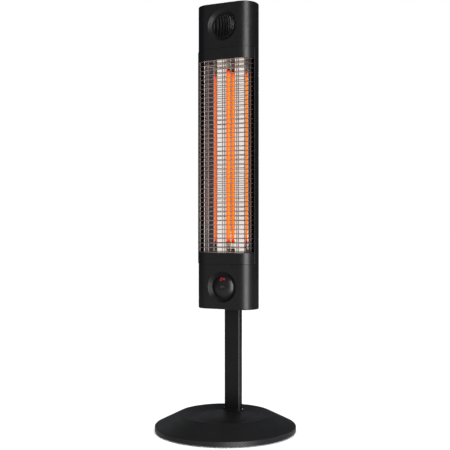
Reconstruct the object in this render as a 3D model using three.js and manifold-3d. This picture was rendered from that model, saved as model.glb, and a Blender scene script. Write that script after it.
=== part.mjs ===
// Slim tower patio heater: a weighted round base, a flat column and a tall head that holds one
// quartz lamp in front of a polished reflector, behind a wire grille.
// Millimetres, +Z up. The heater faces -Y, and the origin is on the floor under the base's centre.

import * as THREE from 'three';
import { mergeVertices } from 'three/addons/utils/BufferGeometryUtils.js';
import Module from 'manifold-3d';

const wasm = await Module();
wasm.setup();

// ---------------------------------------------------------------- driving dimensions

const GAP = 0.3; // clearance between neighbouring pieces

// Base
const BASE_RADIUS = 160;
const BASE_UNDERSIDE = 2.5; // the rim's lower edge above the floor
const RIM_TOP = 13.1;
const RIM_EDGE = 2; // size of the rim's broken edge
const CREST_RADIUS = 104; // radius of the circle along the ridge
const CREST_TOP = 40;
const CREST_ROUND = 8;
const VALLEY_FLOOR = 32;
const VALLEY_ROUND = 10;
const INNER_SLOPE = THREE.MathUtils.degToRad(16);
const DOME_SLOPE = THREE.MathUtils.degToRad(18); // slope of the inner dome at its foot
const COVER_WALL = 2.8;
const FOOT_CIRCLE = 132;
const FOOT_RADIUS = 13;
const FOOT_HEIGHT = 4;
const PLATE_THICKNESS = 1.6;

// Column
const COLUMN_WIDTH = 39.8;
const COLUMN_DEPTH = 17;
const COLUMN_CORNER = 4.5;
const COLUMN_WALL = 1.8;
const COLUMN_Y = 42;
const COLUMN_FIT = 0.35; // gap between the column and what it passes through
const PAD_TOP = 39.6; // flat pad on the base that the column stands on
const PAD_HALF_WIDTH = 27;
const PAD_HALF_DEPTH = 12;

// Screws and bolts
const COLUMN_BOLT_X = 8;
const COLUMN_BOLT_HOLE = 3.4;
const COLUMN_BOLT_RECESS = 6; // radius and depth of the recess for each bolt's head
const EAR_SCREW_X = 22.9;
const EAR_SCREW_HOLE = 1.8;
const SADDLE_BOLTS = [15, 31]; // heights above the head's bottom
const SADDLE_BOLT_HOLE = 2.9;
const CAP_SCREW_X = 24;
const CAP_SCREW_FROM_SEAM = 9;
const CAP_SCREW_HOLE = 2;

// Head
const HEAD_BOTTOM = 276.4;
const HEAD_HEIGHT = 691.8;
const HEAD_HALF_WIDTH = 71.8;
const HEAD_FRONT = -18.5;
const HEAD_REAR = 56.8;
const FRONT_CORNER = 32.3;
const REAR_CORNER = 40;
const CAP_HEIGHT = 101.8;
const BAND_HEIGHT = 25.6;
const HEAD_WALL = 2.4;
const CAP_EDGE = 2; // size of the broken edge round the closed end of each cap
const SIDE_EDGE_Y = 2.9; // front edge of the rear housing's side walls

// Round recesses in the caps
const RECESS_FROM_END = 50.6;
const RECESS_OUTER = 35.2;
const RECESS_BORE = 28.3;
const RECESS_DEPTH = 8;
const BOSS_DEPTH = 10; // how far the recess's ring reaches into the head
const INSERT_RADIUS = 27.8;
const INSERT_FLANGE = 31;
const VENT_DISH = 7.2; // how far the vent's middle lies behind its edge
const VENT_SLOTS = 7;
const VENT_SLOT_PITCH = 6.9;
const VENT_SLOT_HALF = 1.35;

// Lamp, reflector and grille
const LAMP_Y = 15;
const LAMP_RADIUS = 5.4;
const LAMP_LOW = 133.6; // ends of the quartz tube above the head's bottom
const LAMP_HIGH = 550.6;
const GLOW_LOW = 151;
const GLOW_HIGH = 545;
const REFLECTOR_Y = 27.5;
const REFLECTOR_FLAT = 34.4; // half width of its flat back
const REFLECTOR_BEND = [39.5, 21.5]; // where each wing turns outward
const REFLECTOR_MOUTH = 58.4; // half width at its front edges
const REFLECTOR_LIP_Y = 10.8;
const WIRE = 1.7; // grille wire diameter
const WIRE_ROWS = 43;
const UPRIGHT_SPACING = 35.4; // measured along the curved front
const GRILLE_INSET = 2;

// Controls
const LENS_RADIUS = 26.2;
const BUTTON_RADIUS = 6;
const BUTTON_TRAVEL = 1.2;
const ROCKER_TILT = THREE.MathUtils.degToRad(10);

// ---------------------------------------------------------------- derived places

const SEAM_LOW = CAP_HEIGHT + GAP / 2;
const SEAM_HIGH = HEAD_HEIGHT - CAP_HEIGHT - GAP / 2;
const OPENING_LOW = SEAM_LOW + BAND_HEIGHT;
const OPENING_HIGH = SEAM_HIGH - BAND_HEIGHT;
const FRONT_CENTRE_X = HEAD_HALF_WIDTH - FRONT_CORNER;
const FRONT_CENTRE_Y = HEAD_FRONT + FRONT_CORNER;
const COLUMN_BOTTOM = PAD_TOP + GAP;
const COLUMN_TOP = HEAD_BOTTOM + 41.6;
const PAST_SIDES = [-90, 90]; // X extent of cutting blocks that clear the whole head

// ---------------------------------------------------------------- shape helpers

function toSolid(geometry) {
  const plain = geometry.clone();
  plain.deleteAttribute('normal');
  plain.deleteAttribute('uv');
  const merged = mergeVertices(plain, 1e-4);
  const corners = merged.index.array;
  const triangles = [];
  for (let i = 0; i < corners.length; i += 3) {
    const [a, b, c] = corners.slice(i, i + 3);
    if (a !== b && b !== c && c !== a) triangles.push(a, b, c);
  }
  return new wasm.Manifold(new wasm.Mesh({
    numProp: 3,
    vertProperties: new Float32Array(merged.attributes.position.array),
    triVerts: new Uint32Array(triangles),
  }));
}

function toGeometry(solid) {
  const mesh = solid.getMesh();
  const geometry = new THREE.BufferGeometry();
  geometry.setAttribute('position', new THREE.BufferAttribute(mesh.vertProperties, 3));
  geometry.setIndex(new THREE.BufferAttribute(mesh.triVerts, 1));
  geometry.computeVertexNormals();
  return geometry;
}

// A block given by its extent on each axis.
function block([x0, x1], [y0, y1], [z0, z1]) {
  const geometry = new THREE.BoxGeometry(x1 - x0, y1 - y0, z1 - z0);
  geometry.translate((x0 + x1) / 2, (y0 + y1) / 2, (z0 + z1) / 2);
  return toSolid(geometry);
}

// An outline in X and Y, raised from z0 to z1.
function prism(shape, z0, z1, curveSegments = 3) {
  const depth = z1 - z0;
  const geometry = new THREE.ExtrudeGeometry(shape, { depth, bevelEnabled: false, curveSegments });
  geometry.translate(0, 0, z0);
  return toSolid(geometry);
}

// A profile of [radius, height] points, turned about Z.
function turned(points, segments) {
  const profile = points.map(([radius, height]) => new THREE.Vector2(radius, height));
  const geometry = new THREE.LatheGeometry(profile, segments);
  geometry.rotateX(Math.PI / 2);
  return toSolid(geometry);
}

// A round bar or hole along Z.
function rod(radius, z0, z1, x = 0, y = 0, segments = 16) {
  const geometry = new THREE.CylinderGeometry(radius, radius, z1 - z0, segments);
  geometry.rotateX(Math.PI / 2);
  geometry.translate(x, y, (z0 + z1) / 2);
  return toSolid(geometry);
}

// The same, but along Y.
function rodAlongY(radius, y0, y1, x, z, segments = 16) {
  const geometry = new THREE.CylinderGeometry(radius, radius, y1 - y0, segments);
  geometry.translate(x, (y0 + y1) / 2, z);
  return toSolid(geometry);
}

function roundedRectangle(width, depth, radius, x = 0, y = 0) {
  const right = x + width / 2 - radius;
  const left = x - width / 2 + radius;
  const back = y + depth / 2 - radius;
  const front = y - depth / 2 + radius;
  const shape = new THREE.Shape();
  shape.absarc(right, front, radius, -Math.PI / 2, 0, false);
  shape.absarc(right, back, radius, 0, Math.PI / 2, false);
  shape.absarc(left, back, radius, Math.PI / 2, Math.PI, false);
  shape.absarc(left, front, radius, Math.PI, 1.5 * Math.PI, false);
  return shape;
}

// The column's outline, grown outward by a fit or drawn inward by a wall.
function columnOutline(growth) {
  return roundedRectangle(
    COLUMN_WIDTH + 2 * growth,
    COLUMN_DEPTH + 2 * growth,
    COLUMN_CORNER + growth,
    0,
    COLUMN_Y,
  );
}

function polygon(points) {
  return new THREE.Shape(points.map(([x, y]) => new THREE.Vector2(x, y)));
}

// The head's cross-section, drawn in by an inset all round.
function headOutline(inset) {
  const rearX = HEAD_HALF_WIDTH - REAR_CORNER;
  const rearY = HEAD_REAR - REAR_CORNER;
  const front = FRONT_CORNER - inset;
  const rear = REAR_CORNER - inset;
  const shape = new THREE.Shape();
  shape.absarc(FRONT_CENTRE_X, FRONT_CENTRE_Y, front, -Math.PI / 2, 0, false);
  shape.absarc(rearX, rearY, rear, 0, Math.PI / 2, false);
  shape.absarc(-rearX, rearY, rear, Math.PI / 2, Math.PI, false);
  shape.absarc(-FRONT_CENTRE_X, FRONT_CENTRE_Y, front, Math.PI, 1.5 * Math.PI, false);
  return shape;
}

// A wire or lead of a regular section swept along a curve.
function sweep(curve, radius, sides, steps) {
  const section = new THREE.Shape();
  for (let i = 0; i < sides; i += 1) {
    const angle = (i + 0.5) * 2 * Math.PI / sides;
    const point = [radius * Math.cos(angle), radius * Math.sin(angle)];
    if (i === 0) section.moveTo(...point);
    else section.lineTo(...point);
  }
  return toSolid(new THREE.ExtrudeGeometry(section, { extrudePath: curve, steps, bevelEnabled: false }));
}

// A screw with its head's underside at z = 0, its head above and its shank below.
function screw(headRadius, headHeight, shankRadius, length) {
  return turned([
    [0, -length],
    [shankRadius, -length],
    [shankRadius, 0],
    [headRadius, 0],
    [headRadius, headHeight * 0.6],
    [headRadius * 0.7, headHeight],
    [0, headHeight],
  ], 10);
}

// ---------------------------------------------------------------- finishes

const FINISHES = {
  capPaint: [0x2c2c2e, 0.42, 0.1],
  bandPaint: [0x222224, 0.38, 0.1],
  housingPaint: [0x1c1c1e, 0.45, 0.2],
  basePaint: [0x2b2b2d, 0.4, 0.1],
  columnPaint: [0x1f1f21, 0.38, 0.2],
  castIron: [0x3b3b3b, 0.8, 0.5],
  rubber: [0x141414, 0.9, 0],
  steel: [0xb8b8ba, 0.35, 1],
  polished: [0xe4dcd4, 0.08, 1],
  wire: [0xb6a6a0, 0.3, 1],
  glossBlack: [0x141416, 0.08, 0],
  plasticBlack: [0x1d1d1f, 0.5, 0],
  quartz: [0xffe8d8, 0.05, 0],
  filament: [0xff7a10, 0.6, 0],
  ceramic: [0xe6ddd0, 0.6, 0],
  circuitBoard: [0x1d5a36, 0.55, 0],
  copperLead: [0xd9d2c8, 0.5, 0],
  redDigits: [0xd81818, 0.3, 0],
};

const heater = new THREE.Group();
const stand = new THREE.Group();
const head = new THREE.Group();
head.position.z = HEAD_BOTTOM;
heater.add(stand, head);

function add(group, name, solid, finish) {
  const [color, roughness, metalness] = FINISHES[finish];
  const material = new THREE.MeshStandardMaterial({ color, roughness, metalness });
  const mesh = new THREE.Mesh(toGeometry(solid), material);
  mesh.name = name;
  group.add(mesh);
  return mesh;
}

// ---------------------------------------------------------------- base

// Places along the base's top surface, worked out from rim, crest and valley.
const crestCentre = CREST_TOP - CREST_ROUND;
const rimToCrest = Math.hypot(BASE_RADIUS - CREST_RADIUS, crestCentre - RIM_TOP);
const outerSlope = Math.atan2(crestCentre - RIM_TOP, BASE_RADIUS - CREST_RADIUS)
  + Math.asin(CREST_ROUND / rimToCrest);
const crestInnerZ = crestCentre + CREST_ROUND * Math.cos(INNER_SLOPE);
const crestInnerR = CREST_RADIUS - CREST_ROUND * Math.sin(INNER_SLOPE);
const valleyOuterZ = VALLEY_FLOOR + VALLEY_ROUND * (1 - Math.cos(INNER_SLOPE));
const valleyRadius = crestInnerR - (crestInnerZ - valleyOuterZ) / Math.tan(INNER_SLOPE)
  - VALLEY_ROUND * Math.sin(INNER_SLOPE);
const domeRadius = valleyRadius - VALLEY_ROUND * Math.sin(DOME_SLOPE);
const domeFoot = VALLEY_FLOOR + VALLEY_ROUND * (1 - Math.cos(DOME_SLOPE));
const domeRise = domeRadius * Math.tan(DOME_SLOPE) / 3;

// Points from the rim's lower edge up, over the crest and in to the axis.
function baseTop() {
  const points = [
    [BASE_RADIUS, BASE_UNDERSIDE],
    [BASE_RADIUS, RIM_TOP - RIM_EDGE / 2],
    [BASE_RADIUS - RIM_EDGE, RIM_TOP + RIM_EDGE * Math.tan(outerSlope)],
  ];
  const crestSteps = 3;
  for (let i = 0; i <= crestSteps; i += 1) {
    const tilt = THREE.MathUtils.lerp(outerSlope, -INNER_SLOPE, i / crestSteps);
    points.push([CREST_RADIUS + CREST_ROUND * Math.sin(tilt), crestCentre + CREST_ROUND * Math.cos(tilt)]);
  }
  const valleySteps = 2;
  for (let i = 0; i <= valleySteps; i += 1) {
    const tilt = THREE.MathUtils.lerp(INNER_SLOPE, -DOME_SLOPE, i / valleySteps);
    const rise = VALLEY_ROUND * (1 - Math.cos(tilt));
    points.push([valleyRadius + VALLEY_ROUND * Math.sin(tilt), VALLEY_FLOOR + rise]);
  }
  for (const share of [0.7, 0.35, 0]) {
    points.push([domeRadius * share, domeFoot + domeRise * (1 - share ** 3)]);
  }
  return points;
}

const FOOT_BOSS_TOP = 23.6;
const FOOT_BOSS_RADIUS = 6;
const FOOT_SCREW_HOLE = 2.3;

function baseCover() {
  const top = baseTop();
  const underside = top.slice(2).reverse().map(([radius, height]) => [
    Math.min(radius, BASE_RADIUS - COVER_WALL),
    height - COVER_WALL,
  ]);
  const shell = turned([...top, ...underside, [BASE_RADIUS - COVER_WALL, BASE_UNDERSIDE], top[0]], 40);
  const pad = block(
    [-PAD_HALF_WIDTH, PAD_HALF_WIDTH],
    [COLUMN_Y - PAD_HALF_DEPTH, COLUMN_Y + PAD_HALF_DEPTH],
    [VALLEY_FLOOR + 1, PAD_TOP],
  );
  let cover = shell.add(pad);
  for (const side of [-1, 1]) {
    const boltX = side * COLUMN_BOLT_X;
    cover = cover.subtract(rod(COLUMN_BOLT_HOLE, VALLEY_FLOOR - 4, PAD_TOP + 1, boltX, COLUMN_Y, 12));
    const screwX = side * EAR_SCREW_X;
    cover = cover.subtract(rod(EAR_SCREW_HOLE, PAD_TOP - 6, PAD_TOP + 1, screwX, COLUMN_Y, 10));
  }
  const bossBottom = FOOT_HEIGHT + PLATE_THICKNESS + 2 * GAP;
  for (let i = 0; i < 4; i += 1) {
    const [x, y] = footPlace(i);
    cover = cover.add(rod(FOOT_BOSS_RADIUS, bossBottom, FOOT_BOSS_TOP, x, y, 8));
    cover = cover.subtract(rod(FOOT_SCREW_HOLE, FOOT_HEIGHT, FOOT_BOSS_TOP - 2, x, y, 8));
  }
  return cover;
}

function footPlace(index) {
  const angle = Math.PI / 4 + index * Math.PI / 2;
  return [FOOT_CIRCLE * Math.cos(angle), FOOT_CIRCLE * Math.sin(angle)];
}

const WEIGHT_RADIUS = 122;
const WEIGHT_BOTTOM = 8;
const WEIGHT_TOP = 28;

function baseWeight() {
  let weight = turned([
    [0, WEIGHT_BOTTOM],
    [WEIGHT_RADIUS, WEIGHT_BOTTOM],
    [WEIGHT_RADIUS, WEIGHT_TOP - 6],
    [WEIGHT_RADIUS - 10, WEIGHT_TOP],
    [0, WEIGHT_TOP],
  ], 32);
  const below = WEIGHT_BOTTOM - 1;
  const recessTop = WEIGHT_BOTTOM + COLUMN_BOLT_RECESS;
  for (const side of [-1, 1]) {
    const x = side * COLUMN_BOLT_X;
    weight = weight.subtract(rod(COLUMN_BOLT_HOLE, below, WEIGHT_TOP + 1, x, COLUMN_Y, 12));
    weight = weight.subtract(rod(COLUMN_BOLT_RECESS, below, recessTop, x, COLUMN_Y, 12));
  }
  return weight;
}

function basePlate() {
  const bottom = FOOT_HEIGHT + GAP;
  let plate = rod(BASE_RADIUS - COVER_WALL - 2, bottom, bottom + PLATE_THICKNESS, 0, 0, 40);
  for (let i = 0; i < 4; i += 1) {
    const [x, y] = footPlace(i);
    plate = plate.subtract(rod(2.6, 0, 10, x, y, 10));
  }
  return plate;
}

const SCREW_SEAT = 2.4; // height of the seat inside each rubber foot

function rubberFoot() {
  const hole = 2.4;
  const recess = 5;
  const edge = 1.5;
  return turned([
    [hole, SCREW_SEAT],
    [recess, SCREW_SEAT],
    [recess, 0],
    [FOOT_RADIUS - edge, 0],
    [FOOT_RADIUS, edge],
    [FOOT_RADIUS, FOOT_HEIGHT],
    [hole, FOOT_HEIGHT],
    [hole, SCREW_SEAT],
  ], 14);
}

add(stand, 'base_cover', baseCover(), 'basePaint');
add(stand, 'base_weight', baseWeight(), 'castIron');
add(stand, 'base_plate', basePlate(), 'steel');
for (let i = 0; i < 4; i += 1) {
  const [x, y] = footPlace(i);
  const foot = add(stand, `rubber_foot_${i + 1}`, rubberFoot(), 'rubber');
  foot.position.set(x, y, 0);
  const footScrew = add(stand, `foot_screw_${i + 1}`, screw(4.2, 1.8, 2, 13), 'steel');
  footScrew.position.set(x, y, SCREW_SEAT - GAP);
  footScrew.rotation.x = Math.PI;
}

// ---------------------------------------------------------------- column

function columnTube() {
  const bore = prism(columnOutline(-COLUMN_WALL), COLUMN_BOTTOM - 1, COLUMN_TOP + 1, 2);
  let tube = prism(columnOutline(0), COLUMN_BOTTOM, COLUMN_TOP, 2).subtract(bore);
  const front = COLUMN_Y - COLUMN_DEPTH;
  const back = COLUMN_Y + COLUMN_DEPTH;
  for (const height of SADDLE_BOLTS) {
    tube = tube.subtract(rodAlongY(SADDLE_BOLT_HOLE, front, back, 0, HEAD_BOTTOM + height, 12));
  }
  return tube;
}

const EAR_END = 25.8;
const TAB_HEIGHT = 12.4;
const BRACKET_RIM = 2.2;
const BRACKET_THICKNESS = 1.8;

// Flat foot flange with two ears and an upstand behind the column.
function footBracket() {
  const z0 = COLUMN_BOTTOM;
  const z1 = z0 + BRACKET_THICKNESS;
  const ears = roundedRectangle(2 * EAR_END, 9, 4.4, 0, COLUMN_Y);
  const tabFront = COLUMN_Y + COLUMN_DEPTH / 2 + COLUMN_FIT;
  const tabBack = COLUMN_Y + COLUMN_DEPTH / 2 + BRACKET_RIM;
  const tabHalf = COLUMN_WIDTH / 2 - 0.5;
  let bracket = prism(columnOutline(BRACKET_RIM), z0, z1, 2)
    .add(prism(ears, z0, z1, 2))
    .add(block([-tabHalf, tabHalf], [tabFront, tabBack], [z0, z0 + TAB_HEIGHT]))
    .subtract(prism(columnOutline(COLUMN_FIT), z0 - 1, z1 + TAB_HEIGHT, 2));
  for (const side of [-1, 1]) {
    bracket = bracket.subtract(rod(EAR_SCREW_HOLE, z0 - 1, z1 + 1, side * EAR_SCREW_X, COLUMN_Y, 10));
  }
  return bracket;
}

function columnPlug() {
  const width = COLUMN_WIDTH - 2 * COLUMN_WALL - 2 * COLUMN_FIT;
  const depth = COLUMN_DEPTH - 2 * COLUMN_WALL - 2 * COLUMN_FIT;
  const outline = roundedRectangle(width, depth, 1.6, 0, COLUMN_Y);
  const threadTop = COLUMN_BOTTOM + 26;
  let plug = prism(outline, COLUMN_BOTTOM, COLUMN_BOTTOM + 38, 1);
  for (const side of [-1, 1]) {
    const x = side * COLUMN_BOLT_X;
    plug = plug.subtract(rod(COLUMN_BOLT_HOLE - 0.1, COLUMN_BOTTOM - 1, threadTop, x, COLUMN_Y, 12));
  }
  return plug;
}

// Saddle that holds the column's top end inside the lower cap, open towards the rear.
function columnSaddle() {
  const front = COLUMN_Y - COLUMN_DEPTH / 2;
  const back = HEAD_REAR - HEAD_WALL - GAP;
  const bottom = HEAD_WALL + GAP;
  const top = 38;
  const half = COLUMN_WIDTH / 2 + 5.5;
  const slot = COLUMN_WIDTH / 2 + COLUMN_FIT;
  let saddle = block([-half, half], [front - 5, back], [bottom, top])
    .subtract(block([-slot, slot], [front - COLUMN_FIT, back + 1], [bottom - 1, top + 1]));
  for (const height of SADDLE_BOLTS) {
    saddle = saddle.subtract(rodAlongY(SADDLE_BOLT_HOLE - 0.1, front - 6, front + 1, 0, height, 12));
  }
  return saddle;
}

add(stand, 'column_tube', columnTube(), 'columnPaint');
add(stand, 'foot_bracket', footBracket(), 'plasticBlack');
add(stand, 'column_plug', columnPlug(), 'castIron');
['left', 'right'].forEach((label, index) => {
  const side = index === 0 ? -1 : 1;
  const earScrew = add(stand, `bracket_screw_${label}`, screw(2.5, 1.9, 1.4, 6.5), 'steel');
  earScrew.position.set(side * EAR_SCREW_X, COLUMN_Y, COLUMN_BOTTOM + BRACKET_THICKNESS + GAP);
  const bolt = add(stand, `column_bolt_${label}`, screw(5.2, 4.2, 3, 48), 'steel');
  bolt.position.set(side * COLUMN_BOLT_X, COLUMN_Y, WEIGHT_BOTTOM + COLUMN_BOLT_RECESS - GAP);
  bolt.rotation.x = Math.PI;
});
add(head, 'column_saddle', columnSaddle(), 'castIron');
SADDLE_BOLTS.forEach((height, index) => {
  const bolt = add(head, `saddle_bolt_${index + 1}`, screw(4.6, 2.6, 2.5, 31), 'steel');
  bolt.position.set(0, HEAD_REAR + GAP, height);
  bolt.rotation.x = -Math.PI / 2;
});

// ---------------------------------------------------------------- end caps

const GLAND_X = -17;
const GLAND_Z = 64;
const GLAND_HOLE = 6.4;
const ROCKER_X = 15;
const ROCKER_Z = 66;
const ROCKER_HOLE = [6.8, 9.8]; // half width and half height
const BOARD_POSTS = [[-40, 14], [40, 14], [-40, 84], [40, 84]];
const BOARD_Y = 20;
const BOARD_THICKNESS = 1.6;
const THROUGH_BACK = [HEAD_REAR - 8, HEAD_REAR + 1]; // Y extent of holes through a cap's back

// A hollow cap with its closed end at z = 0 and a round, bevelled recess in its front.
function capShell() {
  const depth = CAP_HEIGHT;
  const rounded = new THREE.ExtrudeGeometry(headOutline(0), {
    depth,
    bevelEnabled: true,
    bevelThickness: CAP_EDGE,
    bevelSize: CAP_EDGE,
    bevelOffset: -CAP_EDGE,
    bevelSegments: 2,
    curveSegments: 3,
  });
  rounded.translate(0, 0, CAP_EDGE);
  const trim = block(PAST_SIDES, PAST_SIDES, [CAP_HEIGHT, CAP_HEIGHT + 20]);
  const bossRadius = RECESS_OUTER + HEAD_WALL;
  const bossBack = HEAD_FRONT + BOSS_DEPTH;
  const boss = rodAlongY(bossRadius, HEAD_FRONT + 1, bossBack, 0, RECESS_FROM_END, 32);
  return toSolid(rounded)
    .subtract(trim)
    .subtract(prism(headOutline(HEAD_WALL), HEAD_WALL, CAP_HEIGHT + 1))
    .add(boss)
    .subtract(recessCutter());
}

function recessCutter() {
  const through = -RECESS_DEPTH - 4;
  const cutter = turned([
    [0, through],
    [RECESS_BORE, through],
    [RECESS_BORE, -RECESS_DEPTH],
    [RECESS_OUTER, 0],
    [RECESS_OUTER, 1],
    [0, 1],
  ], 32);
  return cutter.rotate([90, 0, 0]).translate([0, HEAD_FRONT, RECESS_FROM_END]);
}

function withCapScrewHoles(cap) {
  const height = CAP_HEIGHT - CAP_SCREW_FROM_SEAM;
  let drilled = cap;
  for (const side of [-1, 1]) {
    const hole = rodAlongY(CAP_SCREW_HOLE, ...THROUGH_BACK, side * CAP_SCREW_X, height, 10);
    drilled = drilled.subtract(hole);
  }
  return drilled;
}

function bottomCap() {
  let cap = withCapScrewHoles(capShell());
  cap = cap.subtract(prism(columnOutline(COLUMN_FIT), -1, HEAD_WALL + 1, 2));
  for (const height of SADDLE_BOLTS) {
    cap = cap.subtract(rodAlongY(SADDLE_BOLT_HOLE, ...THROUGH_BACK, 0, height, 12));
  }
  cap = cap.subtract(rodAlongY(GLAND_HOLE, ...THROUGH_BACK, GLAND_X, GLAND_Z, 16));
  const [halfWidth, halfHeight] = ROCKER_HOLE;
  cap = cap.subtract(block(
    [ROCKER_X - halfWidth, ROCKER_X + halfWidth],
    THROUGH_BACK,
    [ROCKER_Z - halfHeight, ROCKER_Z + halfHeight],
  ));
  const postFront = BOARD_Y + BOARD_THICKNESS + GAP;
  for (const [x, z] of BOARD_POSTS) {
    cap = cap.add(rodAlongY(3.2, postFront, HEAD_REAR - HEAD_WALL - 0.4, x, z, 8));
  }
  return cap;
}

// A piece of the lower end, turned over for the upper end.
function upsideDown(solid) {
  return solid.mirror([0, 0, 1]).translate([0, 0, HEAD_HEIGHT]);
}

add(head, 'bottom_cap', bottomCap(), 'capPaint');
add(head, 'top_cap', upsideDown(withCapScrewHoles(capShell())), 'capPaint');
for (const side of [-1, 1]) {
  const label = side < 0 ? 'left' : 'right';
  const fromEnd = CAP_HEIGHT - CAP_SCREW_FROM_SEAM;
  [['bottom', fromEnd], ['top', HEAD_HEIGHT - fromEnd]].forEach(([end, height]) => {
    const capScrew = add(head, `${end}_cap_screw_${label}`, screw(3.2, 1.9, 1.6, 9), 'steel');
    capScrew.position.set(side * CAP_SCREW_X, HEAD_REAR + GAP, height);
    capScrew.rotation.x = -Math.PI / 2;
  });
}

// ---------------------------------------------------------------- bands, housing, end plates

// Everything in front of an edge.
function frontHalf(edge, z0, z1) {
  return block(PAST_SIDES, [PAST_SIDES[0], edge], [z0, z1]);
}

function shellWall(z0, z1) {
  return prism(headOutline(0), z0, z1).subtract(prism(headOutline(HEAD_WALL), z0 - 1, z1 + 1));
}

function band(z0) {
  const front = frontHalf(SIDE_EDGE_Y - GAP, z0 - 1, z0 + BAND_HEIGHT);
  return shellWall(z0, z0 + BAND_HEIGHT - GAP).intersect(front);
}

const GROOVE_PITCH = 9;
const GROOVES = 7;
const GROOVE_HALF = 1.2;
const GROOVE_DEPTH = 0.9;

// One extruded length: side walls and back, with shallow grooves down the back.
function rearHousing() {
  const z0 = SEAM_LOW + GAP / 2;
  const z1 = SEAM_HIGH - GAP / 2;
  const height = [z0 - 1, z1 + 1];
  const depth = [HEAD_REAR - GROOVE_DEPTH, HEAD_REAR + 1];
  let housing = shellWall(z0, z1).subtract(frontHalf(SIDE_EDGE_Y, ...height));
  for (let i = 0; i < GROOVES; i += 1) {
    const x = (i - (GROOVES - 1) / 2) * GROOVE_PITCH;
    housing = housing.subtract(block([x - GROOVE_HALF, x + GROOVE_HALF], depth, height));
  }
  return housing;
}

const SHEET = 1.2;
const TAB_HALF = 30;
const LEAD_X = -20;
const LEAD_Y = 40;
const LEAD_RADIUS = 1.6;
const CAP_BODY_RADIUS = 5;

// Sheet plate that closes the heated space and ties a cap to the rear housing by its tab.
function endPlate() {
  const z1 = OPENING_LOW - 0.2;
  const z0 = z1 - SHEET;
  const tabBottom = CAP_HEIGHT - 2 * CAP_SCREW_FROM_SEAM;
  const tabBack = HEAD_REAR - HEAD_WALL - GAP;
  let plate = prism(headOutline(HEAD_WALL + GAP), z0, z1)
    .add(block([-TAB_HALF, TAB_HALF], [tabBack - SHEET, tabBack], [tabBottom, z1]))
    .intersect(prism(headOutline(HEAD_WALL + GAP), tabBottom - 1, z1 + 1))
    .subtract(rod(CAP_BODY_RADIUS + 2, z0 - 1, z1 + 1, 0, LAMP_Y, 20))
    .subtract(rod(LEAD_RADIUS + 1.5, z0 - 1, z1 + 1, LEAD_X, LEAD_Y, 12));
  const height = CAP_HEIGHT - CAP_SCREW_FROM_SEAM;
  for (const side of [-1, 1]) {
    const hole = rodAlongY(CAP_SCREW_HOLE - 0.1, tabBack - 3, tabBack + 1, side * CAP_SCREW_X, height, 10);
    plate = plate.subtract(hole);
  }
  return plate;
}

add(head, 'bottom_band', band(SEAM_LOW + GAP / 2), 'bandPaint');
add(head, 'top_band', band(OPENING_HIGH + GAP / 2), 'bandPaint');
add(head, 'rear_housing', rearHousing(), 'housingPaint');
add(head, 'end_plate_bottom', endPlate(), 'polished');
add(head, 'end_plate_top', upsideDown(endPlate()), 'polished');

// ---------------------------------------------------------------- recess pieces

// A group whose +Z points straight out of the head's front face, at a recess's centre.
function recessGroup(height) {
  const group = new THREE.Group();
  group.position.set(0, HEAD_FRONT, height);
  group.rotation.x = Math.PI / 2;
  head.add(group);
  return group;
}

const FLANGE_TOP = -BOSS_DEPTH - GAP;
const FLANGE_THICKNESS = 2;

// Dished vent with upright slots.
function ventInsert() {
  const rimWidth = 3;
  const wall = 2;
  const steps = 3;
  const dishRadius = INSERT_RADIUS - rimWidth;
  const front = [];
  const back = [];
  for (let i = 0; i <= steps; i += 1) {
    const radius = dishRadius * (1 - i / steps);
    const depth = -RECESS_DEPTH - VENT_DISH * (1 - (radius / dishRadius) ** 2);
    front.push([radius, depth]);
    back.unshift([Math.min(radius, dishRadius - wall), depth - wall]);
  }
  const flangeBack = FLANGE_TOP - FLANGE_THICKNESS;
  let insert = turned([
    ...back,
    [dishRadius - wall, flangeBack],
    [INSERT_FLANGE, flangeBack],
    [INSERT_FLANGE, FLANGE_TOP],
    [INSERT_RADIUS, FLANGE_TOP],
    [INSERT_RADIUS, -RECESS_DEPTH],
    ...front,
  ], 24);
  for (let i = 0; i < VENT_SLOTS; i += 1) {
    const x = (i - (VENT_SLOTS - 1) / 2) * VENT_SLOT_PITCH;
    const half = Math.sqrt((dishRadius - 2.5) ** 2 - x ** 2);
    insert = insert.subtract(block([x - VENT_SLOT_HALF, x + VENT_SLOT_HALF], [-half, half], [-30, 0]));
  }
  return insert;
}

// Height of the domed lens in front of its own edge, at a distance from its centre.
function lensRise(radius) {
  return (RECESS_DEPTH - 0.6) * (1 - (radius / LENS_RADIUS) ** 3);
}

const LENS_WALL = 2.2;
const SKIRT_END = -20;

function displayLens() {
  const hole = BUTTON_RADIUS + GAP + 0.1;
  const front = [];
  const back = [];
  for (const radius of [LENS_RADIUS, 22, 15, hole]) {
    const height = lensRise(radius) - RECESS_DEPTH;
    front.push([radius, height]);
    back.unshift([Math.min(radius, LENS_RADIUS - LENS_WALL), height - LENS_WALL]);
  }
  return turned([
    ...back,
    [LENS_RADIUS - LENS_WALL, SKIRT_END],
    [LENS_RADIUS, SKIRT_END],
    [LENS_RADIUS, FLANGE_TOP - FLANGE_THICKNESS],
    [INSERT_FLANGE, FLANGE_TOP - FLANGE_THICKNESS],
    [INSERT_FLANGE, FLANGE_TOP],
    [LENS_RADIUS, FLANGE_TOP],
    ...front,
    back[0],
  ], 28);
}

const BOARD_FACE = SKIRT_END - GAP; // front face of the round board, behind the lens skirt
const SWITCH_FACE = -15.6;
const STEM_END = SWITCH_FACE + BUTTON_TRAVEL + 0.5;

function powerButton() {
  const rim = lensRise(BUTTON_RADIUS) - RECESS_DEPTH;
  const stem = 2.2;
  return turned([
    [0, STEM_END],
    [stem, STEM_END],
    [stem, rim - 4],
    [BUTTON_RADIUS, rim - 4],
    [BUTTON_RADIUS, rim + 0.1],
    [BUTTON_RADIUS - 0.6, rim + 0.5],
    [0, rim + 0.6],
  ], 20);
}

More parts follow.
